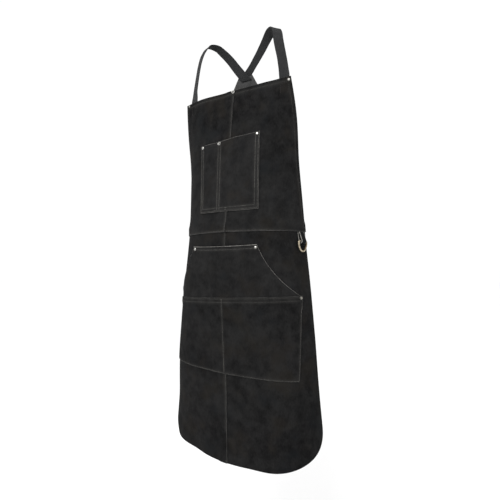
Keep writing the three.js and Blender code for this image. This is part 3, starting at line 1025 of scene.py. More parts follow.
@dataclass
class BodyPanels:
    """Bib and skirt, each of a right and a left panel."""

    shop: Workshop
    laps: Laps
    top_hem: float = 12.0
    hem_inside: float = 1.0
    hem_outside: float = 1.5
    top_row: float = 10.0
    hem_lift: float = 0.7
    side_hem: float = 10.0
    side_row: float = 8.0
    side_soft: float = 3.5
    hem_corner_share: float = 0.42
    hem_corner_rise: float = 90.0
    hem_pull_share: float = -0.46
    hem_pull_reach: float = 0.22
    hem_pull_height: float = 9.0
    top_corner_from: float = 0.7
    top_corner_rise: float = 3.0
    top_dip_share: float = -0.25
    top_dip_reach: float = 0.45
    top_dip_depth: float = 5.5
    top_dip_end: float = 36.0
    seam_inset: float = 2.4
    bright_from: float = 300.0
    waist_fade: float = 115.0
    waist_fade_slope: float = 0.08
    seam_end: float = 838.0
    tail_rows: tuple[float, ...] = (-9.0, 9.0)
    tail_top: float = 15.0
    tail_bottom: float = 35.0
    groove: Groove = Groove(0.2)
    # Painted light and shade: the bib gets lighter towards the waist, the skirt darker towards the hem.
    bib_tone_and_painted_shade: tuple[float, float] = (-0.15, 0.24)
    skirt_tone_and_painted_shade: tuple[float, float] = (0.04, -0.09)
    bib_band: Band = Band(bottom=0.9)
    bib_cells: tuple[int, int] = (84, 150)
    skirt_cells: tuple[int, int] = (96, 200)
    crowding: float = 1.25
    tack_length: float = 8.0
    tack_rows: tuple[float, ...] = (-1.6, -0.8, 0.8, 1.6)
    end_gap: float = 1.0
    row_start: float = 4.0
    samples: int = 80

    def top_dip(self, share: Array) -> Array:
        """How far the top hem hangs below a level line."""
        return self.top_dip_depth * np.exp(-(((share - self.top_dip_share) / self.top_dip_reach) ** 2))

    def top_edge(self, across: Array) -> Array:
        """Drop of the bib's top edge."""
        share = across / self.shop.form.levels[0].half
        return self.top_dip(share) - self.top_corner_rise * ease(share, self.top_corner_from, 1.0)

    def bib_rows(self, side: Side, across: Array, drop: Array) -> Array:
        """Distance to the nearest row of stitches on a bib panel."""
        fade = self.waist_fade_slope * np.maximum(across - self.waist_fade, 0.0)
        low = np.hypot(self.laps.waist_edge - self.seam_inset - drop, fade)
        edge = np.hypot(self.shop.form.half(drop) - self.side_row - np.abs(across), self.side_soft)
        rows = [drop - self.top_edge(across) - self.top_row, edge, low]
        if side is Side.RIGHT:
            rows.append(across - self.laps.centre_edge + self.seam_inset)
        return nearest(*rows)

    def bib_out(self, side: Side, across: Array, drop: Array) -> Array:
        """Stand-off of a bib panel's inner face."""
        laps = self.laps
        waist = laps.waist(drop)
        if side is Side.RIGHT:
            centre = laps.centre(across)
            lifted = centre + waist * (1.0 + centre)
        else:
            lifted = waist * (1.0 + laps.cross(across))
        half = self.shop.form.half(drop)
        below = drop - self.top_edge(across)
        hem = 1.0 - ease(below, self.top_hem - self.hem_inside, self.top_hem + self.hem_outside)
        inner = half - self.side_hem
        sides = ease(np.abs(across), inner - self.hem_outside, inner + self.hem_inside)
        hollow = self.groove.hollow(self.bib_rows(side, across, drop))
        return lifted * laps.layer + self.hem_lift * np.maximum(hem, sides) - hollow

    def bib_face(self, side: Side) -> Lift:
        """Outer face of a bib panel."""
        return lambda across, drop: self.bib_out(side, across, drop) + self.laps.leather

    def skirt_rows(self, side: Side, across: Array, drop: Array) -> Array:
        """Distance to the nearest row of stitches on a skirt panel."""
        if side is Side.RIGHT:
            past = np.maximum(drop - self.seam_end, 0.0)
            return np.hypot(across - self.laps.centre_edge + self.seam_inset, past)
        return np.full_like(across, FAR)

    def skirt_out(self, side: Side, across: Array, drop: Array) -> Array:
        """Stand-off of a skirt panel's inner face."""
        if side is Side.RIGHT:
            hollow = self.groove.hollow(self.skirt_rows(side, across, drop))
            return self.laps.centre(across) * self.laps.layer - hollow
        return np.zeros_like(across)

    def skirt_face(self, side: Side) -> Lift:
        """Outer face of a skirt panel."""
        return lambda across, drop: self.skirt_out(side, across, drop) + self.laps.leather

    def hem_drop(self, share: Array) -> Array:
        """Drop of the hem at shares of the half width."""
        corner = np.clip((np.abs(share) - self.hem_corner_share) / (1.0 - self.hem_corner_share), 0.0, 1.0)
        pull = np.exp(-(((share - self.hem_pull_share) / self.hem_pull_reach) ** 2))
        rise = self.hem_corner_rise * (1.0 - np.sqrt(1.0 - corner**2))
        return self.shop.form.length - rise - self.hem_pull_height * pull

    def _column(self, side: Side, share: Array) -> tuple[Array, Array]:
        """Share of the half width and offset of columns, crowded at the side edge."""
        laps = self.laps
        if side is Side.RIGHT:
            k = share**self.crowding
            return k - 1.0, laps.centre_edge * k
        k = (1.0 - share) ** self.crowding
        return 1.0 - k, laps.centre_under * k

    def _bib_place(self, side: Side) -> Place:
        """Spots of a bib panel."""

        def place(across_share: Array, down_share: Array) -> Spot:
            """Lays one bib panel."""
            share, offset = self._column(side, across_share)
            row = down_share * self.laps.waist_edge
            whole = share + offset / self.shop.form.levels[0].half
            rise = self.top_corner_rise * ease(whole, self.top_corner_from, 1.0)
            dip = self.top_dip(whole) * (1.0 - ease(row, self.top_hem, self.top_dip_end))
            drop = row + dip - rise * (1.0 - ease(row, 0.0, self.top_hem))
            across = share * self.shop.form.half(drop) + offset
            press = self.groove.press(self.bib_rows(side, across, drop))
            return Spot(across, drop, self.bib_face(side)(across, drop), press)

        return place

    def _skirt_place(self, side: Side) -> Place:
        """Spots of a skirt panel."""

        def place(across_share: Array, down_share: Array) -> Spot:
            """Lays one skirt panel."""
            share, offset = self._column(side, across_share)
            drop = mix(self.laps.waist_under, self.hem_drop(share), down_share)
            across = share * self.shop.form.half(drop) + offset
            press = self.groove.press(self.skirt_rows(side, across, drop))
            return Spot(across, drop, self.skirt_face(side)(across, drop), press)

        return place

    def build(self) -> None:
        """Makes the four panels."""
        edge = self.shop.finishes.dyed_edge
        for side in Side:
            word = side.name.lower()
            bib, strap = "bib_panel_" + word, "shoulder_strap_" + word
            bib_cut = Cut(bib, self.bib_cells, (strap,), edge, self.bib_tone_and_painted_shade, self.bib_band)
            self.shop.leather(bib_cut, self._bib_place(side))
            skirt_cut = Cut("skirt_panel_" + word, self.skirt_cells, (bib,), edge, self.skirt_tone_and_painted_shade)
            self.shop.leather(skirt_cut, self._skirt_place(side))

    def dress(self, fine: Stitching, dark: Stitching) -> None:
        """Sews the hems and seams.

        Args:
            fine: Slim pale thread of the waist.
            dark: Dark thread of the hems and the centre seam.
        """
        laps, form, gap = self.laps, self.shop.form, self.end_gap
        steps = np.linspace(0.0, 1.0, self.samples)
        stitch = laps.centre_edge - self.seam_inset
        seams: list[Seam] = []
        waist: list[Seam] = []
        for side in Side:
            face = self.bib_face(side)
            start = laps.centre_edge + side.value * gap
            top = mix(start, side.value * (form.levels[0].half - 2 * gap), steps)
            seams.append(Seam(top, self.top_edge(top) + self.top_row, face))
            drops = mix(self.top_row + self.row_start, laps.waist_edge - 2 * gap, steps)
            seams.append(Seam(side.value * (form.half(drops) - self.side_row), drops, face))
            drop = np.full_like(steps, laps.waist_edge - self.seam_inset)
            end = side.value * (form.half(drop) - gap)
            if side is Side.LEFT:
                seams.append(Seam(mix(self.waist_fade, end, steps), drop, face))
                end = self.waist_fade
            waist.append(Seam(mix(start, end, steps), drop, face))
            for offset in self.tail_rows:
                across = np.full_like(steps, laps.tail(side) + offset)
                seams.append(Seam(across, mix(self.tail_top, self.tail_bottom, steps), face))
        centre, face = np.full_like(steps, stitch), self.bib_face(Side.RIGHT)
        seams.append(Seam(centre, mix(self.row_start, self.bright_from, steps), face))
        dark.sew("bib_hem_stitching", seams)
        waist.append(Seam(centre, mix(self.bright_from, laps.waist_edge - gap, steps), face))
        fine.sew("waist_stitching", waist)
        face = self.skirt_face(Side.RIGHT)
        skirt = [Seam(centre, mix(laps.waist_edge + gap, self.seam_end, steps), face)]
        tack = mix(form.length - self.tack_length, form.length - gap, steps)
        skirt += [Seam(centre + offset, tack, face) for offset in self.tack_rows]
        dark.sew("skirt_stitching", skirt)


@dataclass(frozen=True)
class PocketEdge:
    """Upper or lower edge of the chest pocket."""

    right: float
    left: float
    divider: float
    drop_right: float
    drop_left: float
    sag: float

    def drop(self, share: Array) -> Array:
        """Drop of the edge at shares across."""
        return mix(self.drop_right, self.drop_left, share) + self.sag * sag(share)


@dataclass
class ChestPocket:
    """Patch pocket on the bib, divided by a double row of stitches."""

    shop: Workshop
    laps: Laps
    top: PocketEdge = PocketEdge(-88.0, 89.0, -20.0, 134.0, 122.0, 5.0)
    bottom: PocketEdge = PocketEdge(-77.0, 93.5, -12.5, 312.0, 311.0, 2.0)
    slack: float = 2.6
    hem: float = 11.0
    hem_lift: float = 0.5
    hem_inside: float = 1.0
    hem_outside: float = 1.5
    inset: float = 2.8
    gauge: float = 7.0
    row_ends: tuple[float, float] = (0.01, 0.98)
    tack_across: float = 10.0
    tack_rows: tuple[float, ...] = (-2.0, -1.0, 0.0, 1.0, 2.0)
    tack_rise: tuple[float, float] = (11.0, 1.5)
    samples: int = 60
    groove: Groove = Groove(0.4)
    band: Band = Band(top=1.0)
    tone: tuple[float, float] = (0.19, 0.19)
    cells: tuple[int, int] = (96, 96)

    def flat(self, share: Array, down: Array) -> tuple[Array, Array]:
        """Flat position of shares across and down the pocket."""
        right = mix(self.top.right, self.bottom.right, down)
        left = mix(self.top.left, self.bottom.left, down)
        return mix(right, left, share), mix(self.top.drop(share), self.bottom.drop(share), down)

    def across_share(self, across: Array) -> Array:
        """Share across the pocket's top edge."""
        return np.clip((across - self.top.right) / (self.top.left - self.top.right), 0.0, 1.0)

    def sides(self, across: Array, drop: Array) -> tuple[Array, Array, Array, Array, Array, Array]:
        """Where a flat position lies in the pocket.

        Args:
            across: Position across.
            drop: Distance below the bib's top edge.

        Returns:
            Share down, drops of the top and bottom edges, and the right, left and divider positions there.
        """
        share = self.across_share(across)
        top, low = self.top.drop(share), self.bottom.drop(share)
        down = np.clip((drop - top) / (low - top), 0.0, 1.0)
        right = mix(self.top.right, self.bottom.right, down)
        left = mix(self.top.left, self.bottom.left, down)
        return down, top, low, right, left, mix(self.top.divider, self.bottom.divider, down)

    def rows(self, across: Array, drop: Array) -> Array:
        """Distance to the nearest row of stitches."""
        _, _, low, right, left, divider = self.sides(across, drop)
        near = []
        for inset in (self.inset, self.inset + self.gauge):
            near += [across - right - inset, left - across - inset, low - drop - inset]
        near.append(np.abs(across - divider) - self.gauge / 2)
        return nearest(*near)

    def out(self, across: Array, drop: Array) -> Array:
        """Stand-off of the pocket's inner face."""
        down, top, _, right, left, divider = self.sides(across, drop)
        right_part, left_part = (across - right) / (divider - right), (across - divider) / (left - divider)
        slack = self.slack * swell(np.where(across < divider, right_part, left_part)) * (1.0 - down**2)
        rolled = 1.0 - ease(drop - top, self.hem - self.hem_inside, self.hem + self.hem_outside)
        hollow = self.groove.hollow(self.rows(across, drop))
        return self.laps.pocket(across) + slack + self.hem_lift * rolled - hollow

    def face(self, across: Array, drop: Array) -> Array:
        """Stand-off of the pocket's outer face."""
        return self.out(across, drop) + self.laps.leather

    def build(self) -> None:
        """Makes the pocket."""

        def place(share: Array, down: Array) -> Spot:
            """Lays the pocket on the bib."""
            across, drop = self.flat(share, down)
            press = self.groove.press(self.rows(across, drop))
            return Spot(across, drop, self.face(across, drop), press)

        panels, edge = ("bib_panel_right", "bib_panel_left"), self.shop.finishes.edge
        self.shop.leather(Cut("chest_pocket", self.cells, panels, edge, self.tone, self.band), place)

    def dress(self, stitching: Stitching) -> None:
        """Sews the sides, the bottom and the divider."""
        seams = []
        steps = np.linspace(0.0, 1.0, self.samples)
        first, last = self.row_ends
        width = self.top.left - self.top.right
        height = self.bottom.drop_right - self.top.drop_right
        for inset in (self.inset, self.inset + self.gauge):
            side, rise = inset / width, inset / height
            for share in (side, 1.0 - side):
                down = mix(first, 1.0 - rise, steps)
                seams.append(Seam(*self.flat(np.full_like(steps, share), down), self.face))
            foot = np.full_like(steps, 1.0 - rise)
            seams.append(Seam(*self.flat(mix(side, 1.0 - side, steps), foot), self.face))
        for offset in (-self.gauge / 2, self.gauge / 2):
            down = mix(first, last, steps)
            across = mix(self.top.divider, self.bottom.divider, down) + offset
            _, drop = self.flat(self.across_share(across), down)
            seams.append(Seam(across, drop, self.face))
        tack = np.full_like(steps, self.tack_across)
        drops = self.bottom.drop(self.across_share(tack)) - mix(*self.tack_rise, steps)
        seams += [Seam(tack + offset, drops, self.face) for offset in self.tack_rows]
        stitching.sew("chest_pocket_stitching", seams)


@dataclass
class HandPocket:
    """Upper part of the lower pocket, with slanted openings at both sides."""

    shop: Workshop
    laps: Laps
    top: float = 395.5
    end: float = 518.0
    bottom: float = 536.0
    top_sag: float = 3.0
    half_top: float = 98.0
    half_end: float = 203.0
    shift: float = -5.0
    control_across: float = 0.3
    control_down: float = 0.65
    slack: float = 2.6
    mouth: Fold = Fold(-196.0, 504.0, 18.0, 11.0, 0.0, 3.2)
    inset: float = 8.5
    end_gap: float = 3.0
    samples: int = 80
    groove: Groove = Groove(0.4)
    band: Band = Band(top=1.0, right=0.65, left=0.65)
    tone: tuple[float, float] = (0.21, 0.15)
    cells: tuple[int, int] = (150, 72)

    def down(self, drop: Array) -> Array:
        """Share of the way down the openings."""
        return np.clip((np.asarray(drop, float) - self.top) / (self.end - self.top), 0.0, 1.0)

    def half(self, drop: Array) -> Array:
        """Half width at drops."""
        bend = 2.0 * self.control_down - 1.0
        way = (self.control_down - np.sqrt(self.control_down**2 - bend * self.down(drop))) / bend
        pull = 2.0 * self.control_across
        return mix(self.half_top, self.half_end, way * (pull + (1.0 - pull) * way))

    def top_edge(self, across: Array) -> Array:
        """Drop of the top edge."""
        share = np.clip((across - self.shift) / self.half_top / 2.0 + 0.5, 0.0, 1.0)
        return self.top + self.top_sag * sag(share)

    def rows(self, across: Array, drop: Array) -> Array:
        """Distance to the nearest row of stitches."""
        return np.abs(drop - self.top_edge(across) - self.inset)

    def out(self, across: Array, drop: Array) -> Array:
        """Stand-off of the pocket's inner face."""
        hollow = self.groove.hollow(self.rows(across, drop))
        slack = self.slack * swell(self.down(drop)) + self.mouth.raise_at(across, drop)
        return self.laps.pocket(across) + slack - hollow

    def face(self, across: Array, drop: Array) -> Array:
        """Stand-off of the pocket's outer face."""
        return self.out(across, drop) + self.laps.leather

    def build(self) -> None:
        """Makes the pocket's upper part."""

        def place(share: Array, down: Array) -> Spot:
            """Lays it on the skirt."""
            row = mix(self.top, self.bottom, down)
            across = self.shift * (1.0 - self.down(row)) + self.half(row) * (2.0 * share - 1.0)
            drop = row + self.top_sag * sag(share) * (1.0 - self.down(row))
            press = self.groove.press(self.rows(across, drop))
            return Spot(across, drop, self.face(across, drop), press)

        panels, edge = ("skirt_panel_right", "skirt_panel_left"), self.shop.finishes.pale_edge
        self.shop.leather(Cut("hand_pocket", self.cells, panels, edge, self.tone, self.band), place)

    def dress(self, stitching: Stitching) -> None:
        """Sews the top edge."""
        half = self.half(np.array([self.top + self.inset]))[0] - self.end_gap
        across = np.linspace(self.shift - half, self.shift + half, self.samples)
        stitching.sew("hand_pocket_stitching", [Seam(across, self.top_edge(across) + self.inset, self.face)])


@dataclass
class ToolPocket:
    """Lower part of the lower pocket, lapped over the hand pocket and split by a centre row of stitches."""

    shop: Workshop
    laps: Laps
    top_right: float = 528.5
    top_left: float = 514.5
    bottom_right: float = 695.5
    bottom_left: float = 707.5
    half_top: float = 204.0
    half_bottom: float = 191.0
    lap_end: float = 538.0
    slack: float = 1.8
    inset: float = 3.0
    edge_inset: float = 1.8
    top_gauge: float = 8.0
    centre: float = 7.6
    centre_rise: float = 5.0
    lap_groove: float = 0.5
    samples: int = 120
    centre_samples: int = 60
    groove: Groove = Groove(0.4)
    tone: tuple[float, float] = (-0.07, -0.05)
    cells: tuple[int, int] = (160, 84)

    def top(self, across: Array) -> Array:
        """Drop of the top edge."""
        return mix(self.top_right, self.top_left, (across / self.half_top + 1.0) / 2.0)

    def bottom(self, across: Array) -> Array:
        """Drop of the bottom edge."""
        return mix(self.bottom_right, self.bottom_left, (across / self.half_bottom + 1.0) / 2.0)

    def down(self, across: Array, drop: Array) -> Array:
        """Share of the way down the pocket."""
        top = self.top(across)
        return np.clip((drop - top) / (self.bottom(across) - top), 0.0, 1.0)

    def half(self, down: Array) -> Array:
        """Half width at shares down."""
        return mix(self.half_top, self.half_bottom, down)

    def rows(self, across: Array, drop: Array) -> Array:
        """Distance to the nearest row of stitches."""
        edge = self.half(self.down(across, drop)) - np.abs(across) - self.edge_inset
        low = self.bottom(across) - drop - self.edge_inset
        high = drop - self.top(across) - self.inset
        centre = np.hypot(across - self.centre, np.maximum(self.top(across) - drop, 0.0))
        return nearest(edge, low, high, high - self.top_gauge, centre)

    def out(self, across: Array, drop: Array) -> Array:
        """Stand-off of the pocket's inner face."""
        lap = 1.0 - ease(drop, self.lap_end, self.lap_end + self.laps.waist_blend)
        down = self.down(across, drop)
        rise = self.slack * swell(np.abs(across - self.centre) / self.half(down)) * swell(down) * (1.0 - lap)
        hollow = np.where(lap > 0.0, self.lap_groove, 1.0) * self.groove.hollow(self.rows(across, drop))
        return self.laps.pocket(across) + lap * self.laps.layer + rise - hollow

    def face(self, across: Array, drop: Array) -> Array:
        """Stand-off of the pocket's outer face."""
        return self.out(across, drop) + self.laps.leather

    def build(self) -> None:
        """Makes the pocket's lower part."""

        def place(share: Array, down: Array) -> Spot:
            """Lays it on the skirt."""
            side = 2.0 * share - 1.0
            drop = mix(self.top(side * self.half_top), self.bottom(side * self.half_bottom), down)
            across = side * self.half(down)
            press = self.groove.press(self.rows(across, drop))
            return Spot(across, drop, self.face(across, drop), press)

        panels = ("hand_pocket", "skirt_panel_right", "skirt_panel_left")
        edge = self.shop.finishes.dyed_edge
        self.shop.leather(Cut("tool_pocket", self.cells, panels, edge, self.tone), place)

    def dress(self, stitching: Stitching, fine: Stitching, dark: Stitching) -> None:
        """Sews the top, the sides, the bottom and the centre.

        Args:
            stitching: Pale thread of the centre row.
            fine: Slim pale thread of the sides and the bottom.
            dark: Dark thread of the top.
        """
        steps = np.linspace(-1.0, 1.0, self.samples)
        rise = self.edge_inset / (self.bottom_right - self.top_right)
        down = np.linspace(rise, 1.0 - rise, self.samples)
        across = steps * (self.half_bottom - self.edge_inset)
        edges = [Seam(across, self.bottom(across) - self.edge_inset, self.face)]
        for side in Side:
            across = side.value * (self.half(down) - self.edge_inset)
            edges.append(Seam(across, mix(self.top(across), self.bottom(across), down), self.face))
        fine.sew("tool_edge_stitching", edges)
        across = steps * (self.half_top - self.inset)
        insets = (self.inset, self.inset + self.top_gauge)
        rows = [Seam(across, self.top(across) + inset, self.face) for inset in insets]
        dark.sew("tool_top_stitching", rows)
        foot = 0.5 * (self.bottom_right + self.bottom_left) - self.inset
        drops = np.linspace(self.top_right - self.centre_rise, foot, self.centre_samples)
        stitching.sew("tool_centre_stitching", [Seam(np.full_like(drops, self.centre), drops, self.face)])


@dataclass(frozen=True)
class Station:
    """One station of a strap: position, height above the bib's top edge, turn and fall of its outer edge."""

    x: float
    y: float
    up: float
    turn: float
    tilt: float = 0.0


@dataclass(frozen=True)
class SewnBox:
    """A crossed box of stitches on the patch: its middle, and half of its width and height."""

    across: float
    up: float
    half: float
    rise: float


@dataclass
class Straps:
    """Shoulder straps, waist straps and the patch on which they meet."""

    shop: Workshop
    laps: Laps
    width: float = 25.0
    thick: float = 2.0
    gap: float = 0.7
    level_cut: float = 1.6
    tails: tuple[tuple[float, float], ...] = ((38.0, 0.7), (19.0, 0.9), (2.0, 1.6))
    left: tuple[Station, ...] = (
        Station(137, -60, 28, 42),
        Station(130, -55, 58, 45),
        Station(121.5, -49, 88, 39),
        Station(112.5, -41, 118, 31, 8),
        Station(103, -29, 145.5, 22, 28),
        Station(89, -15, 165.5, 14, 22),
        Station(67, 1, 172, 6, 12),
        Station(47.5, 13, 165.5, 0, 6),
        Station(27, 20, 146, 0),
        Station(7, 21.5, 122, 0),
        Station(-10, 19.8, 99, 0),
        Station(-25, 19.2, 83, 0),
    )
    right: tuple[Station, ...] = (
        Station(-138, -59, 30, -26),
        Station(-138.5, -53, 61, -28),
        Station(-139, -46, 92, -29),
        Station(-139, -38, 124, -28),
        Station(-136, -27, 157, -23),
        Station(-126, -16, 178, -18),
        Station(-109, -2, 176, -13),
        Station(-92, 8, 160, -10),
        Station(-74, 14, 139, -7),
        Station(-57, 16.5, 116, -4),
        Station(-39, 16.5, 93, -1),
        Station(-20, 16, 70, 0),
    )
    patch_x: float = -27.0
    patch_y: float = 21.2
    patch_top: float = 90.0
    patch_bottom: float = 0.0
    patch_half_top: float = 20.0
    patch_half_bottom: float = 70.0
    waist_start: float = 40.0
    waist_start_up: float = 30.0
    waist_spread: float = 6.0
    waist_fall: float = 32.0
    waist_way: tuple[Station, ...] = (
        Station(58, 30, -90, 16),
        Station(90, 33, -185, 34),
        Station(124, 16, -275, 56),
    )
    waist_ends: tuple[tuple[float, float], ...] = ((358.0, 2.6), (373.0, 1.4), (388.0, 1.0))
    waist_inset: float = 14.5
    sewn: tuple[SewnBox, ...] = (
        SewnBox(3.0, 78.0, 11.0, 7.0),
        SewnBox(-40.0, 26.0, 9.0, 9.0),
        SewnBox(40.0, 26.0, 9.0, 9.0),
    )
    sewn_samples: int = 20
    rib: float = 3.6
    rib_height: float = 0.12
    selvedge: float = 0.5
    columns: int = 22
    shoulder_rows: int = 200
    waist_rows: int = 160
    patch_cells: tuple[int, int] = (40, 30)
    patch_band: float = 0.012

    def _station(self, station: Station) -> tuple[Vector, Vector]:
        """Centre in millimetres and width direction of a station."""
        turn, tilt = math.radians(station.turn), math.radians(station.tilt)
        centre = Vector((station.x, station.y, station.up - self.shop.form.shoulder_rise))
        level = math.cos(tilt)
        return centre, Vector((math.cos(turn) * level, math.sin(turn) * level, -math.sin(tilt)))

    def _inside(self, across: float, drop: float, gap: float) -> tuple[Vector, Vector]:
        """Centre and width direction of a station on the inner face of the leather."""
        out = -gap - self.thick / 2
        a, b = (self.shop.form.point(across + side * self.width / 2, drop, out) / MM for side in (-1, 1))
        return (a + b) / 2, (b - a).normalized()

    @staticmethod
    def _curve(points: Array, at: Array, least: float = 1e-4) -> tuple[Array, Array]:
        """Smooth curve through unevenly spaced points.

        Args:
            points: The stations.
            at: Shares of the way along, counted in stations.
            least: Distance that is counted between two stations that are the same.

        Returns:
            Points of the curve and its tangents.
        """
        whole = np.vstack([2 * points[:1] - points[1:2], points, 2 * points[-1:] - points[-2:-1]])
        step = np.maximum(np.linalg.norm(np.diff(whole, axis=0), axis=1), least)[:, None] ** 0.5
        chord = np.diff(whole, axis=0) / step
        wide = (whole[2:] - whole[:-2]) / (step[1:] + step[:-1])
        tangent = chord[:-1] - wide + chord[1:]
        last = len(points) - 1
        place = np.clip(at, 0.0, 1.0) * last
        k = np.minimum(place.astype(int), last - 1)
        t = (place - k)[:, None]
        span = step[1:-1][k]
        leaving, arriving = span * tangent[k], span * tangent[k + 1]
        value = hermite(t, points[k], leaving, points[k + 1], arriving)
        slope = (
            (6 * t**2 - 6 * t) * (points[k] - points[k + 1])
            + (3 * t**2 - 4 * t + 1) * leaving
            + (3 * t**2 - 2 * t) * arriving
        )
        return value, slope / np.linalg.norm(slope, axis=1, keepdims=True)

    def webbing(
        self, name: str, stations: Sequence[tuple[Vector, Vector]], rows: int, level_cut: float = 0.0
    ) -> None:
        """A strap through stations, with rounded selvedges and raised ribs.

        Args:
            name: The CAD node.
            stations: Centres in millimetres and width directions.
            rows: Faces along it.
            level_cut: Stations over which its last end comes to a level cut, 0 for a square cut.
        """
        centres = np.array([tuple(centre) for centre, _ in stations])
        widths = np.array([tuple(width) for _, width in stations])

        def lay(across: Array, along: Array) -> Lay:
            """Lays the ribbon's outer face."""
            centre, tangent = self._curve(centres, along)
            width, _ = self._curve(widths, along)
            width = width - tangent * np.sum(width * tangent, 1, keepdims=True)
            width = width / np.linalg.norm(width, axis=1, keepdims=True)
            normal = np.cross(width, tangent)
            offset = (across - 0.5) * self.width
            if level_cut:
                last = len(stations) - 1
                lean = ease(along * last, last - level_cut, last)
                slope = np.where(lean > 0.0, -width[:, 2] / np.where(lean > 0.0, tangent[:, 2], 1.0), 0.0)
                centre = centre + tangent * (lean * slope * offset)[:, None]
            rib = self.rib_height * np.cos(2 * math.pi * offset / self.rib)
            points = centre + width * offset[:, None] + normal * (self.thick / 2 + rib)[:, None]
            return Lay(points * MM, offset, along * run_along(centres)[-1])

        bm = self.shop.grid(self.columns, rows, lay)
        made = self.shop.piece(name + "_webbing", bm, (self.shop.finishes.webbing,), Stock.WEBBING, (name,))
        self.shop.thicken(made, self.thick, self.selvedge, False)

    def build(self) -> None:
        """Makes the straps and the patch."""
        for side in Side:
            word = side.name.lower()
            stations = [self._inside(self.laps.tail(side), drop, gap) for drop, gap in self.tails]
            stations += map(self._station, self.left if side is Side.LEFT else self.right)
            self.webbing("shoulder_strap_" + word, stations, self.shoulder_rows, self.level_cut)
            self.webbing("waist_strap_" + word, self._waist_way(side), self.waist_rows)
        self._patch()

    def _waist_way(self, side: Side) -> list[tuple[Vector, Vector]]:
        """Stations of a waist strap."""
        on_patch = self.patch_y - self.gap - self.thick / 2
        start = [
            Station(
                self.patch_x + side.value * (self.waist_start + k * self.waist_spread),
                on_patch,
                self.waist_start_up - k * self.waist_fall,
                0,
            )
            for k in (0, 1)
        ]
        way = [Station(side.value * s.x, s.y, s.up, side.value * s.turn) for s in self.waist_way]
        ends = []
        for drop, gap in self.waist_ends:
            inset = self.shop.form.half(np.array([drop]))[0] - self.waist_inset
            ends.append(self._inside(side.value * inset, drop, gap))
        return [*map(self._station, start), *map(self._station, way), *ends]

    def _patch(self) -> None:
        """Makes the patch behind the strap ends."""
        rise = self.shop.form.shoulder_rise

        def lay(across: Array, down: Array) -> Lay:
            """Lays the patch's outer face, which looks backwards."""
            half = mix(self.patch_half_top, self.patch_half_bottom, down)
            x = self.patch_x + half * (1.0 - 2.0 * across)
            up = mix(self.patch_top, self.patch_bottom, down)
            points = np.stack([x, np.full_like(x, self.patch_y + self.laps.leather), up - rise], -1)
            return Lay(points * MM, x, -up)

        bm = self.shop.grid(*self.patch_cells, lay, Edges(*[self.patch_band] * 4))
        finishes = (self.shop.finishes.grey, self.shop.finishes.edge)
        made = self.shop.piece("back_patch_leather", bm, finishes, Stock.GREY, ("back_patch",))
        self.shop.thicken(made, LEATHER, self.shop.rounding, True)

    def dress(self, stitching: Stitching) -> None:
        """Sews the strap ends to the patch, in a crossed box for each."""
        back = self.patch_y + self.laps.leather + stitching.raised
        steps = np.linspace(0.0, 1.0, self.sewn_samples)[:, None]
        above = np.tile((0.0, 1.0, 0.0), (self.sewn_samples, 1))
        lines = []
        for box in self.sewn:
            middle = np.array((self.patch_x + box.across, back, box.up - self.shop.form.shoulder_rise))
            signs = ((-1, -1), (1, -1), (1, 1), (-1, 1))
            corners = [middle + np.array((x * box.half, 0.0, z * box.rise)) for x, z in signs]
            for a, b in ((0, 1), (1, 2), (2, 3), (3, 0), (0, 2), (1, 3)):
                lines.append((mix(corners[a], corners[b], steps) * MM, above))
        stitching.sew_lines("back_patch_stitching", lines)


class RivetKind(Enum):
    """Kinds of rivet cap: profile points as radius and height in millimetres."""

    PLAIN = ((4.0, 0.0), (4.0, 0.45), (3.75, 0.9), (3.1, 1.35), (2.1, 1.65), (1.0, 1.78), (0.0, 1.8))
    OPEN = (
        (4.5, 0.0),
        (4.5, 0.5),
        (4.2, 1.05),
        (3.7, 1.5),
        (3.25, 1.7),
        (2.8, 1.55),
        (2.4, 1.2),
        (2.1, 0.6),
        (0.0, 0.55),
    )


class CapWearAndPaintedRim(Enum):
    """How a rivet's cap looks: the wear of its plating, and a painted dark rim that stands in for the
    reflection of the dark leather round it.
    """

    BRIGHT = "bright all over"
    PAINTED_DARK_RIM = "painted dark rim"
    DULL = "dulled, with a painted dark rim"


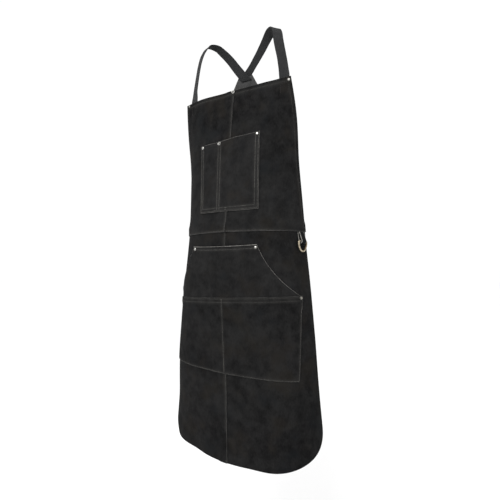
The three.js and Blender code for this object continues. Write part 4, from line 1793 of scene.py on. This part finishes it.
@dataclass
class Rivets:
    """Caps of the rivets."""

    shop: Workshop
    laps: Laps
    inset: float = 5.0
    sides: int = 28
    bore: float = 2.5
    bore_floor: float = 0.1
    # Radius beyond which a plain cap's rim is painted dark as a reflection of the leather, in millimetres.
    rim: float = 2.4
    bib_right: tuple[float, float] = (-150.0, 5.0)
    bib_left: tuple[float, float] = (156.5, 5.0)
    bib_centre: tuple[float, float] = (9.0, 8.0)
    chest_right: float = -79.0
    chest_left: float = 83.0
    hand_right: float = -93.0
    hand_left: float = 90.5
    hand_drop: float = 402.5
    end: float = 198.0

    def cap(
        self, name: str, kind: RivetKind, at: tuple[float, float], face: Lift, wear: CapWearAndPaintedRim = CapWearAndPaintedRim.PAINTED_DARK_RIM
    ) -> None:
        """Makes one cap on a lifted surface, in the place of its CAD node.

        Args:
            name: The CAD node.
            kind: Plain or open.
            at: Position across and drop.
            face: Stand-off of the surface.
            wear: How worn its plating is, and whether its rim is painted dark as a reflection of the leather
                round it.
        """
        across, drop = at
        bm = bmesh.new()
        profile = [bm.verts.new((radius * MM, 0.0, height * MM)) for radius, height in kind.value]
        edges = [bm.edges.new(pair) for pair in zip(profile, profile[1:])]
        bmesh.ops.spin(
            bm,
            geom=[*profile, *edges],
            cent=(0, 0, 0),
            axis=(0, 0, 1),
            angle=2 * math.pi,
            steps=self.sides,
            use_merge=True,
        )
        bmesh.ops.remove_doubles(bm, verts=bm.verts, dist=MERGE)
        rim = [edge for edge in bm.edges if edge.is_boundary]
        bmesh.ops.contextual_create(bm, geom=rim)
        bmesh.ops.recalc_face_normals(bm, faces=bm.faces)
        for one in bm.faces:
            middle = one.calc_center_median() / MM
            if kind is RivetKind.OPEN and middle.xy.length < self.bore and middle.z > self.bore_floor:
                one.material_index = 1
            elif kind is RivetKind.PLAIN and wear is not CapWearAndPaintedRim.BRIGHT and middle.xy.length > self.rim:
                # Painted reflection: the outer ring takes the dark rim finish.
                one.material_index = 2
        normal = self.shop.form.facing(across, drop, face)
        stand = float(face(np.array([across]), np.array([drop]))[0])
        base = self.shop.form.point(across, drop, stand) + normal * self.laps.gap * MM
        turn = normal.to_track_quat("Z", "Y").to_matrix().to_4x4()
        bmesh.ops.transform(bm, matrix=Matrix.Translation(base) @ turn, verts=bm.verts)
        finish = self.shop.finishes.dull if wear is CapWearAndPaintedRim.DULL else self.shop.finishes.nickel
        finishes = (finish, self.shop.finishes.bore, self.shop.finishes.rim)
        self.shop.piece(name + "_cap", bm, finishes, Stock.NICKEL, (name,))

    def build(self, panels: BodyPanels, chest: ChestPocket, hand: HandPocket, tool: ToolPocket) -> None:
        """Makes all the caps.

        Args:
            panels: Body panels.
            chest: Chest pocket.
            hand: Upper part of the lower pocket.
            tool: Lower part of the lower pocket.
        """
        plain, open_ = RivetKind.PLAIN, RivetKind.OPEN
        right, left = panels.bib_face(Side.RIGHT), panels.bib_face(Side.LEFT)
        self.cap("bib_rivet_right", plain, self.bib_right, right)
        self.cap("bib_rivet_left", plain, self.bib_left, left)
        self.cap("bib_rivet_centre", open_, self.bib_centre, right)
        for word, kind, across, wear in (
            ("right", plain, self.chest_right, CapWearAndPaintedRim.BRIGHT),
            ("divider", open_, chest.top.divider, CapWearAndPaintedRim.PAINTED_DARK_RIM),
            ("left", plain, self.chest_left, CapWearAndPaintedRim.PAINTED_DARK_RIM),
        ):
            drop = float(chest.top.drop(chest.across_share(across))) + self.inset
            self.cap("chest_rivet_" + word, kind, (across, drop), chest.face, wear)
        self.cap("pocket_rivet_top_right", plain, (self.hand_right, self.hand_drop), hand.face, CapWearAndPaintedRim.BRIGHT)
        self.cap("pocket_rivet_top_left", plain, (self.hand_left, self.hand_drop), hand.face)
        for side in Side:
            across = side.value * self.end
            drop = float(tool.top(across)) + self.inset
            self.cap("pocket_rivet_end_" + side.name.lower(), plain, (across, drop), tool.face, CapWearAndPaintedRim.DULL)


@dataclass
class WaistRing:
    """D ring, a little fuller than the solid one, and the folded tab that carries it, in millimetres."""

    shop: Workshop
    laps: Laps
    across: float = 198.5
    drop: float = 365.5
    tab_width: float = 15.0
    tab_top: float = 3.4
    hang: float = 21.5
    stand: float = 8.0
    clear: float = 0.35
    solid_wire: float = 2.0
    wire: float = 2.25
    # Painted reflection: faces turned towards the D's middle further than this take the dark brown brass.
    painted_reflection_facing: float = -0.35
    half: float = 13.0
    depth: float = 24.0
    corner: float = 3.5
    sides: int = 16
    bar_points: int = 9
    corner_points: int = 6
    bow_points: int = 33
    eye_points: int = 25
    fall_points: int = 12
    tab_columns: int = 10
    tab_band: float = 0.08
    tab_rounding: float = 0.3

    def _seat(self) -> Matrix:
        """Local frame: X out of the leather, Y up, Z along the bar, in metres."""
        heading = float(self.shop.form.heading(np.array([self.across]), np.array([self.drop]))[0])
        out = Vector((math.sin(heading), -math.cos(heading), 0.0))
        up = Vector((0.0, 0.0, 1.0))
        along = out.cross(up)
        origin = self.shop.form.point(self.across, self.drop, self.laps.layer)
        turn = Matrix((out, up, along)).transposed().to_4x4()
        return Matrix.Translation(origin) @ turn

    def build(self) -> None:
        """Makes the ring and the tab."""
        self._ring()
        self._tab()

    def _ring_line(self) -> list[Vector]:
        """Centre line of the D in its own plane, as points along and up."""
        flat, corner, half = self.half - self.corner, self.corner, self.half
        line = [Vector((x, 0.0)) for x in np.linspace(-flat, flat, self.bar_points)]
        for a in np.linspace(math.pi / 2, 0.0, self.corner_points)[1:]:
            line.append(Vector((flat + corner * math.cos(a), corner * math.sin(a) - corner)))
        for a in np.linspace(0.0, -math.pi, self.bow_points)[1:]:
            line.append(Vector((half * math.cos(a), (self.depth - corner) * math.sin(a) - corner)))
        for a in np.linspace(math.pi, math.pi / 2, self.corner_points)[1:-1]:
            line.append(Vector((corner * math.cos(a) - flat, corner * math.sin(a) - corner)))
        return line

    def _ring(self) -> None:
        """Sweeps the wire round the D."""

        def loop_edges(verts: Sequence[bmesh.types.BMVert]) -> list[bmesh.types.BMEdge]:
            """Edges between the vertices of one loop."""
            held = set(verts)
            return [edge for edge in bm.edges if all(vert in held for vert in edge.verts)]

        line = self._ring_line()
        bm = bmesh.new()
        loop = list(bmesh.ops.create_circle(bm, segments=self.sides, radius=self.wire)["verts"])
        loops = []
        for k, point in enumerate(line):
            ahead = line[(k + 1) % len(line)] - line[k - 1]
            ahead.normalize()
            if k:
                grown = bmesh.ops.extrude_edge_only(bm, edges=loop_edges(loop))["geom"]
                moved = {item for item in grown if isinstance(item, bmesh.types.BMVert)}
                others = [[edge.other_vert(old) for edge in old.link_edges] for old in loop]
                loop = [next(vert for vert in near if vert in moved) for near in others]
            for s, vert in enumerate(loop):
                angle = 2 * math.pi * s / self.sides
                side = self.wire * math.cos(angle)
                vert.co = (self.wire * math.sin(angle), point.y - ahead.x * side, point.x + ahead.y * side)
            loops.append(list(loop))
        bmesh.ops.bridge_loops(bm, edges=[*loop_edges(loops[0]), *loop_edges(loops[-1])])
        bmesh.ops.recalc_face_normals(bm, faces=bm.faces)
        middle = Vector((0.0, -self.depth / 2, 0.0))
        for one in bm.faces:
            away = (one.calc_center_median() - middle).normalized()
            # Painted reflection: the inner faces take the dark brown brass.
            one.material_index = int(one.normal.dot(away) < self.painted_reflection_facing)
        place = self._seat() @ Matrix.Scale(MM, 4) @ Matrix.Translation((self.stand, -self.hang, 0.0))
        bmesh.ops.transform(bm, matrix=place, verts=bm.verts)
        finishes = (self.shop.finishes.brass, self.shop.finishes.painted_reflection_brass)
        self.shop.piece("d_ring_wire", bm, finishes, Stock.BRASS, ("d_ring",), RING_BODY)

    def _tab(self) -> None:
        """Folds a strip of leather round the ring's bar."""
        lobe = self.solid_wire + self.clear + LEATHER
        fall = Vector((self.stand - self.tab_top / 2, -self.hang)).normalized()
        inner = math.atan2(-fall.x, fall.y)
        centre = Vector((self.stand, -self.hang))
        angles = np.linspace(inner, inner + math.pi, self.eye_points)
        arc = [centre + Vector((math.cos(a), math.sin(a))) * lobe for a in angles]
        steps = np.linspace(0, 1, self.fall_points)
        path = [*(Vector((0.0, 0.0)).lerp(arc[0], t) for t in steps), *arc[1:]]
        path += [arc[-1].lerp(Vector((self.tab_top, 0.0)), t) for t in steps[1:]]
        line = np.array([tuple(point) for point in path])
        run = run_along(line)
        seat = self._seat()

        def lay(across: Array, along: Array) -> Lay:
            """Lays the strip's outer face."""
            at = along * run[-1]
            width = (0.5 - across) * self.tab_width
            local = np.stack([np.interp(at, run, line[:, 0]), np.interp(at, run, line[:, 1]), width], -1)
            points = np.array([tuple(seat @ (Vector(point) * MM)) for point in local])
            return Lay(points, width, at)

        edges = Edges(self.tab_band, self.tab_band, 0.0, 0.0)
        bm = self.shop.grid(self.tab_columns, len(path) * 2, lay, edges)
        finishes = (self.shop.finishes.suede, self.shop.finishes.pale_edge)
        made = self.shop.piece("ring_tab_leather", bm, finishes, Stock.SUEDE, ("ring_tab",))
        self.shop.thicken(made, LEATHER, self.tab_rounding, True)


# Stage


@dataclass(frozen=True)
class Lamp:
    """A soft area light: its place, what it looks at, its size in metres and its power in watts."""

    name: str
    at: Triple
    target: Triple
    size: float
    power: float


@dataclass
class Studio:
    """Camera, light and floor, in metres."""

    lens: float = 29.34
    sensor: float = 36.0
    eye: Triple = (0.5896, -0.9142, -0.6234)
    look: Triple = (-0.5397, 0.8408, 0.0419)
    floor_z: float = -1.5
    floor_half: float = 30.0
    floor_white: float = 0.99
    world_white: float = 1.03
    lamps: tuple[Lamp, ...] = (
        Lamp("key_light", (0.35, -2.1, 0.9), (0.0, -0.08, -0.25), 1.3, 43.0),
        Lamp("fill_light", (1.9, -1.5, -0.2), (0.0, -0.08, -0.6), 2.0, 2.5),
    )

    def build(self) -> None:
        """Sets up the stage."""
        bpy.context.scene.view_settings.view_transform = "Standard"
        self._camera()
        self._world()
        self._floor()
        for lamp in self.lamps:
            self._light(lamp)

    def _camera(self) -> None:
        """Adds the camera."""
        data = bpy.data.cameras.new("camera")
        data.lens = self.lens
        data.sensor_width = self.sensor
        camera = bpy.data.objects.new("camera", data)
        camera.location = self.eye
        camera.rotation_mode = "QUATERNION"
        camera.rotation_quaternion = Vector(self.look).to_track_quat("-Z", "Y")
        bpy.context.scene.collection.objects.link(camera)
        bpy.context.scene.camera = camera

    def _world(self) -> None:
        """Adds the pale surroundings."""
        world = bpy.data.worlds.new("studio")
        world.use_nodes = True
        sky = world.node_tree.nodes["Background"]
        sky.inputs[0].default_value = (1.0, 1.0, 1.0, 1.0)
        sky.inputs[1].default_value = self.world_white
        bpy.context.scene.world = world

    def _floor(self) -> None:
        """Adds the pale floor."""
        bm = bmesh.new()
        bmesh.ops.create_grid(bm, x_segments=2, y_segments=2, size=self.floor_half)
        bmesh.ops.translate(bm, verts=bm.verts, vec=(0.0, 0.0, self.floor_z))
        mesh = bpy.data.meshes.new("floor")
        bm.to_mesh(mesh)
        bm.free()
        kit = NodeKit("floor_paint")
        mottle = kit.grain(kit.object_space(), 3.0, 2.0)
        paint = (self.floor_white, self.floor_white, self.floor_white, 1.0)
        mesh.materials.append(kit.surface({"Base Color": paint, "Roughness": 0.9 + 0.08 * mottle}))
        floor = bpy.data.objects.new("floor", mesh)
        bpy.context.scene.collection.objects.link(floor)

    def _light(self, lamp: Lamp) -> None:
        """Adds a soft area light."""
        data = bpy.data.lights.new(lamp.name, "AREA")
        data.shape = "DISK"
        data.size = lamp.size
        data.energy = lamp.power
        light = bpy.data.objects.new(lamp.name, data)
        light.location = lamp.at
        light.rotation_mode = "QUATERNION"
        light.rotation_quaternion = (Vector(lamp.target) - Vector(lamp.at)).to_track_quat("-Z", "Y")
        bpy.context.scene.collection.objects.link(light)


def main() -> None:
    """Builds the apron and its stage."""
    logging.basicConfig(level=logging.INFO, format="%(name)s %(message)s")
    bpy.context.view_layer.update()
    shop = Workshop(WornForm(), Finishes())
    laps = Laps()
    pale = Stitching(shop, shop.finishes.thread)
    fine = Stitching(shop, shop.finishes.thread, thread=0.5)
    dark = Stitching(shop, shop.finishes.dark_thread)
    panels = BodyPanels(shop, laps)
    chest = ChestPocket(shop, laps)
    hand = HandPocket(shop, laps)
    tool = ToolPocket(shop, laps)
    panels.build()
    panels.dress(fine, dark)
    chest.build()
    chest.dress(pale)
    hand.build()
    hand.dress(fine)
    tool.build()
    tool.dress(pale, fine, dark)
    straps = Straps(shop, laps)
    straps.build()
    straps.dress(dark)
    Rivets(shop, laps).build(panels, chest, hand, tool)
    WaistRing(shop, laps).build()
    Studio().build()


if __name__ == "__main__":
    main()
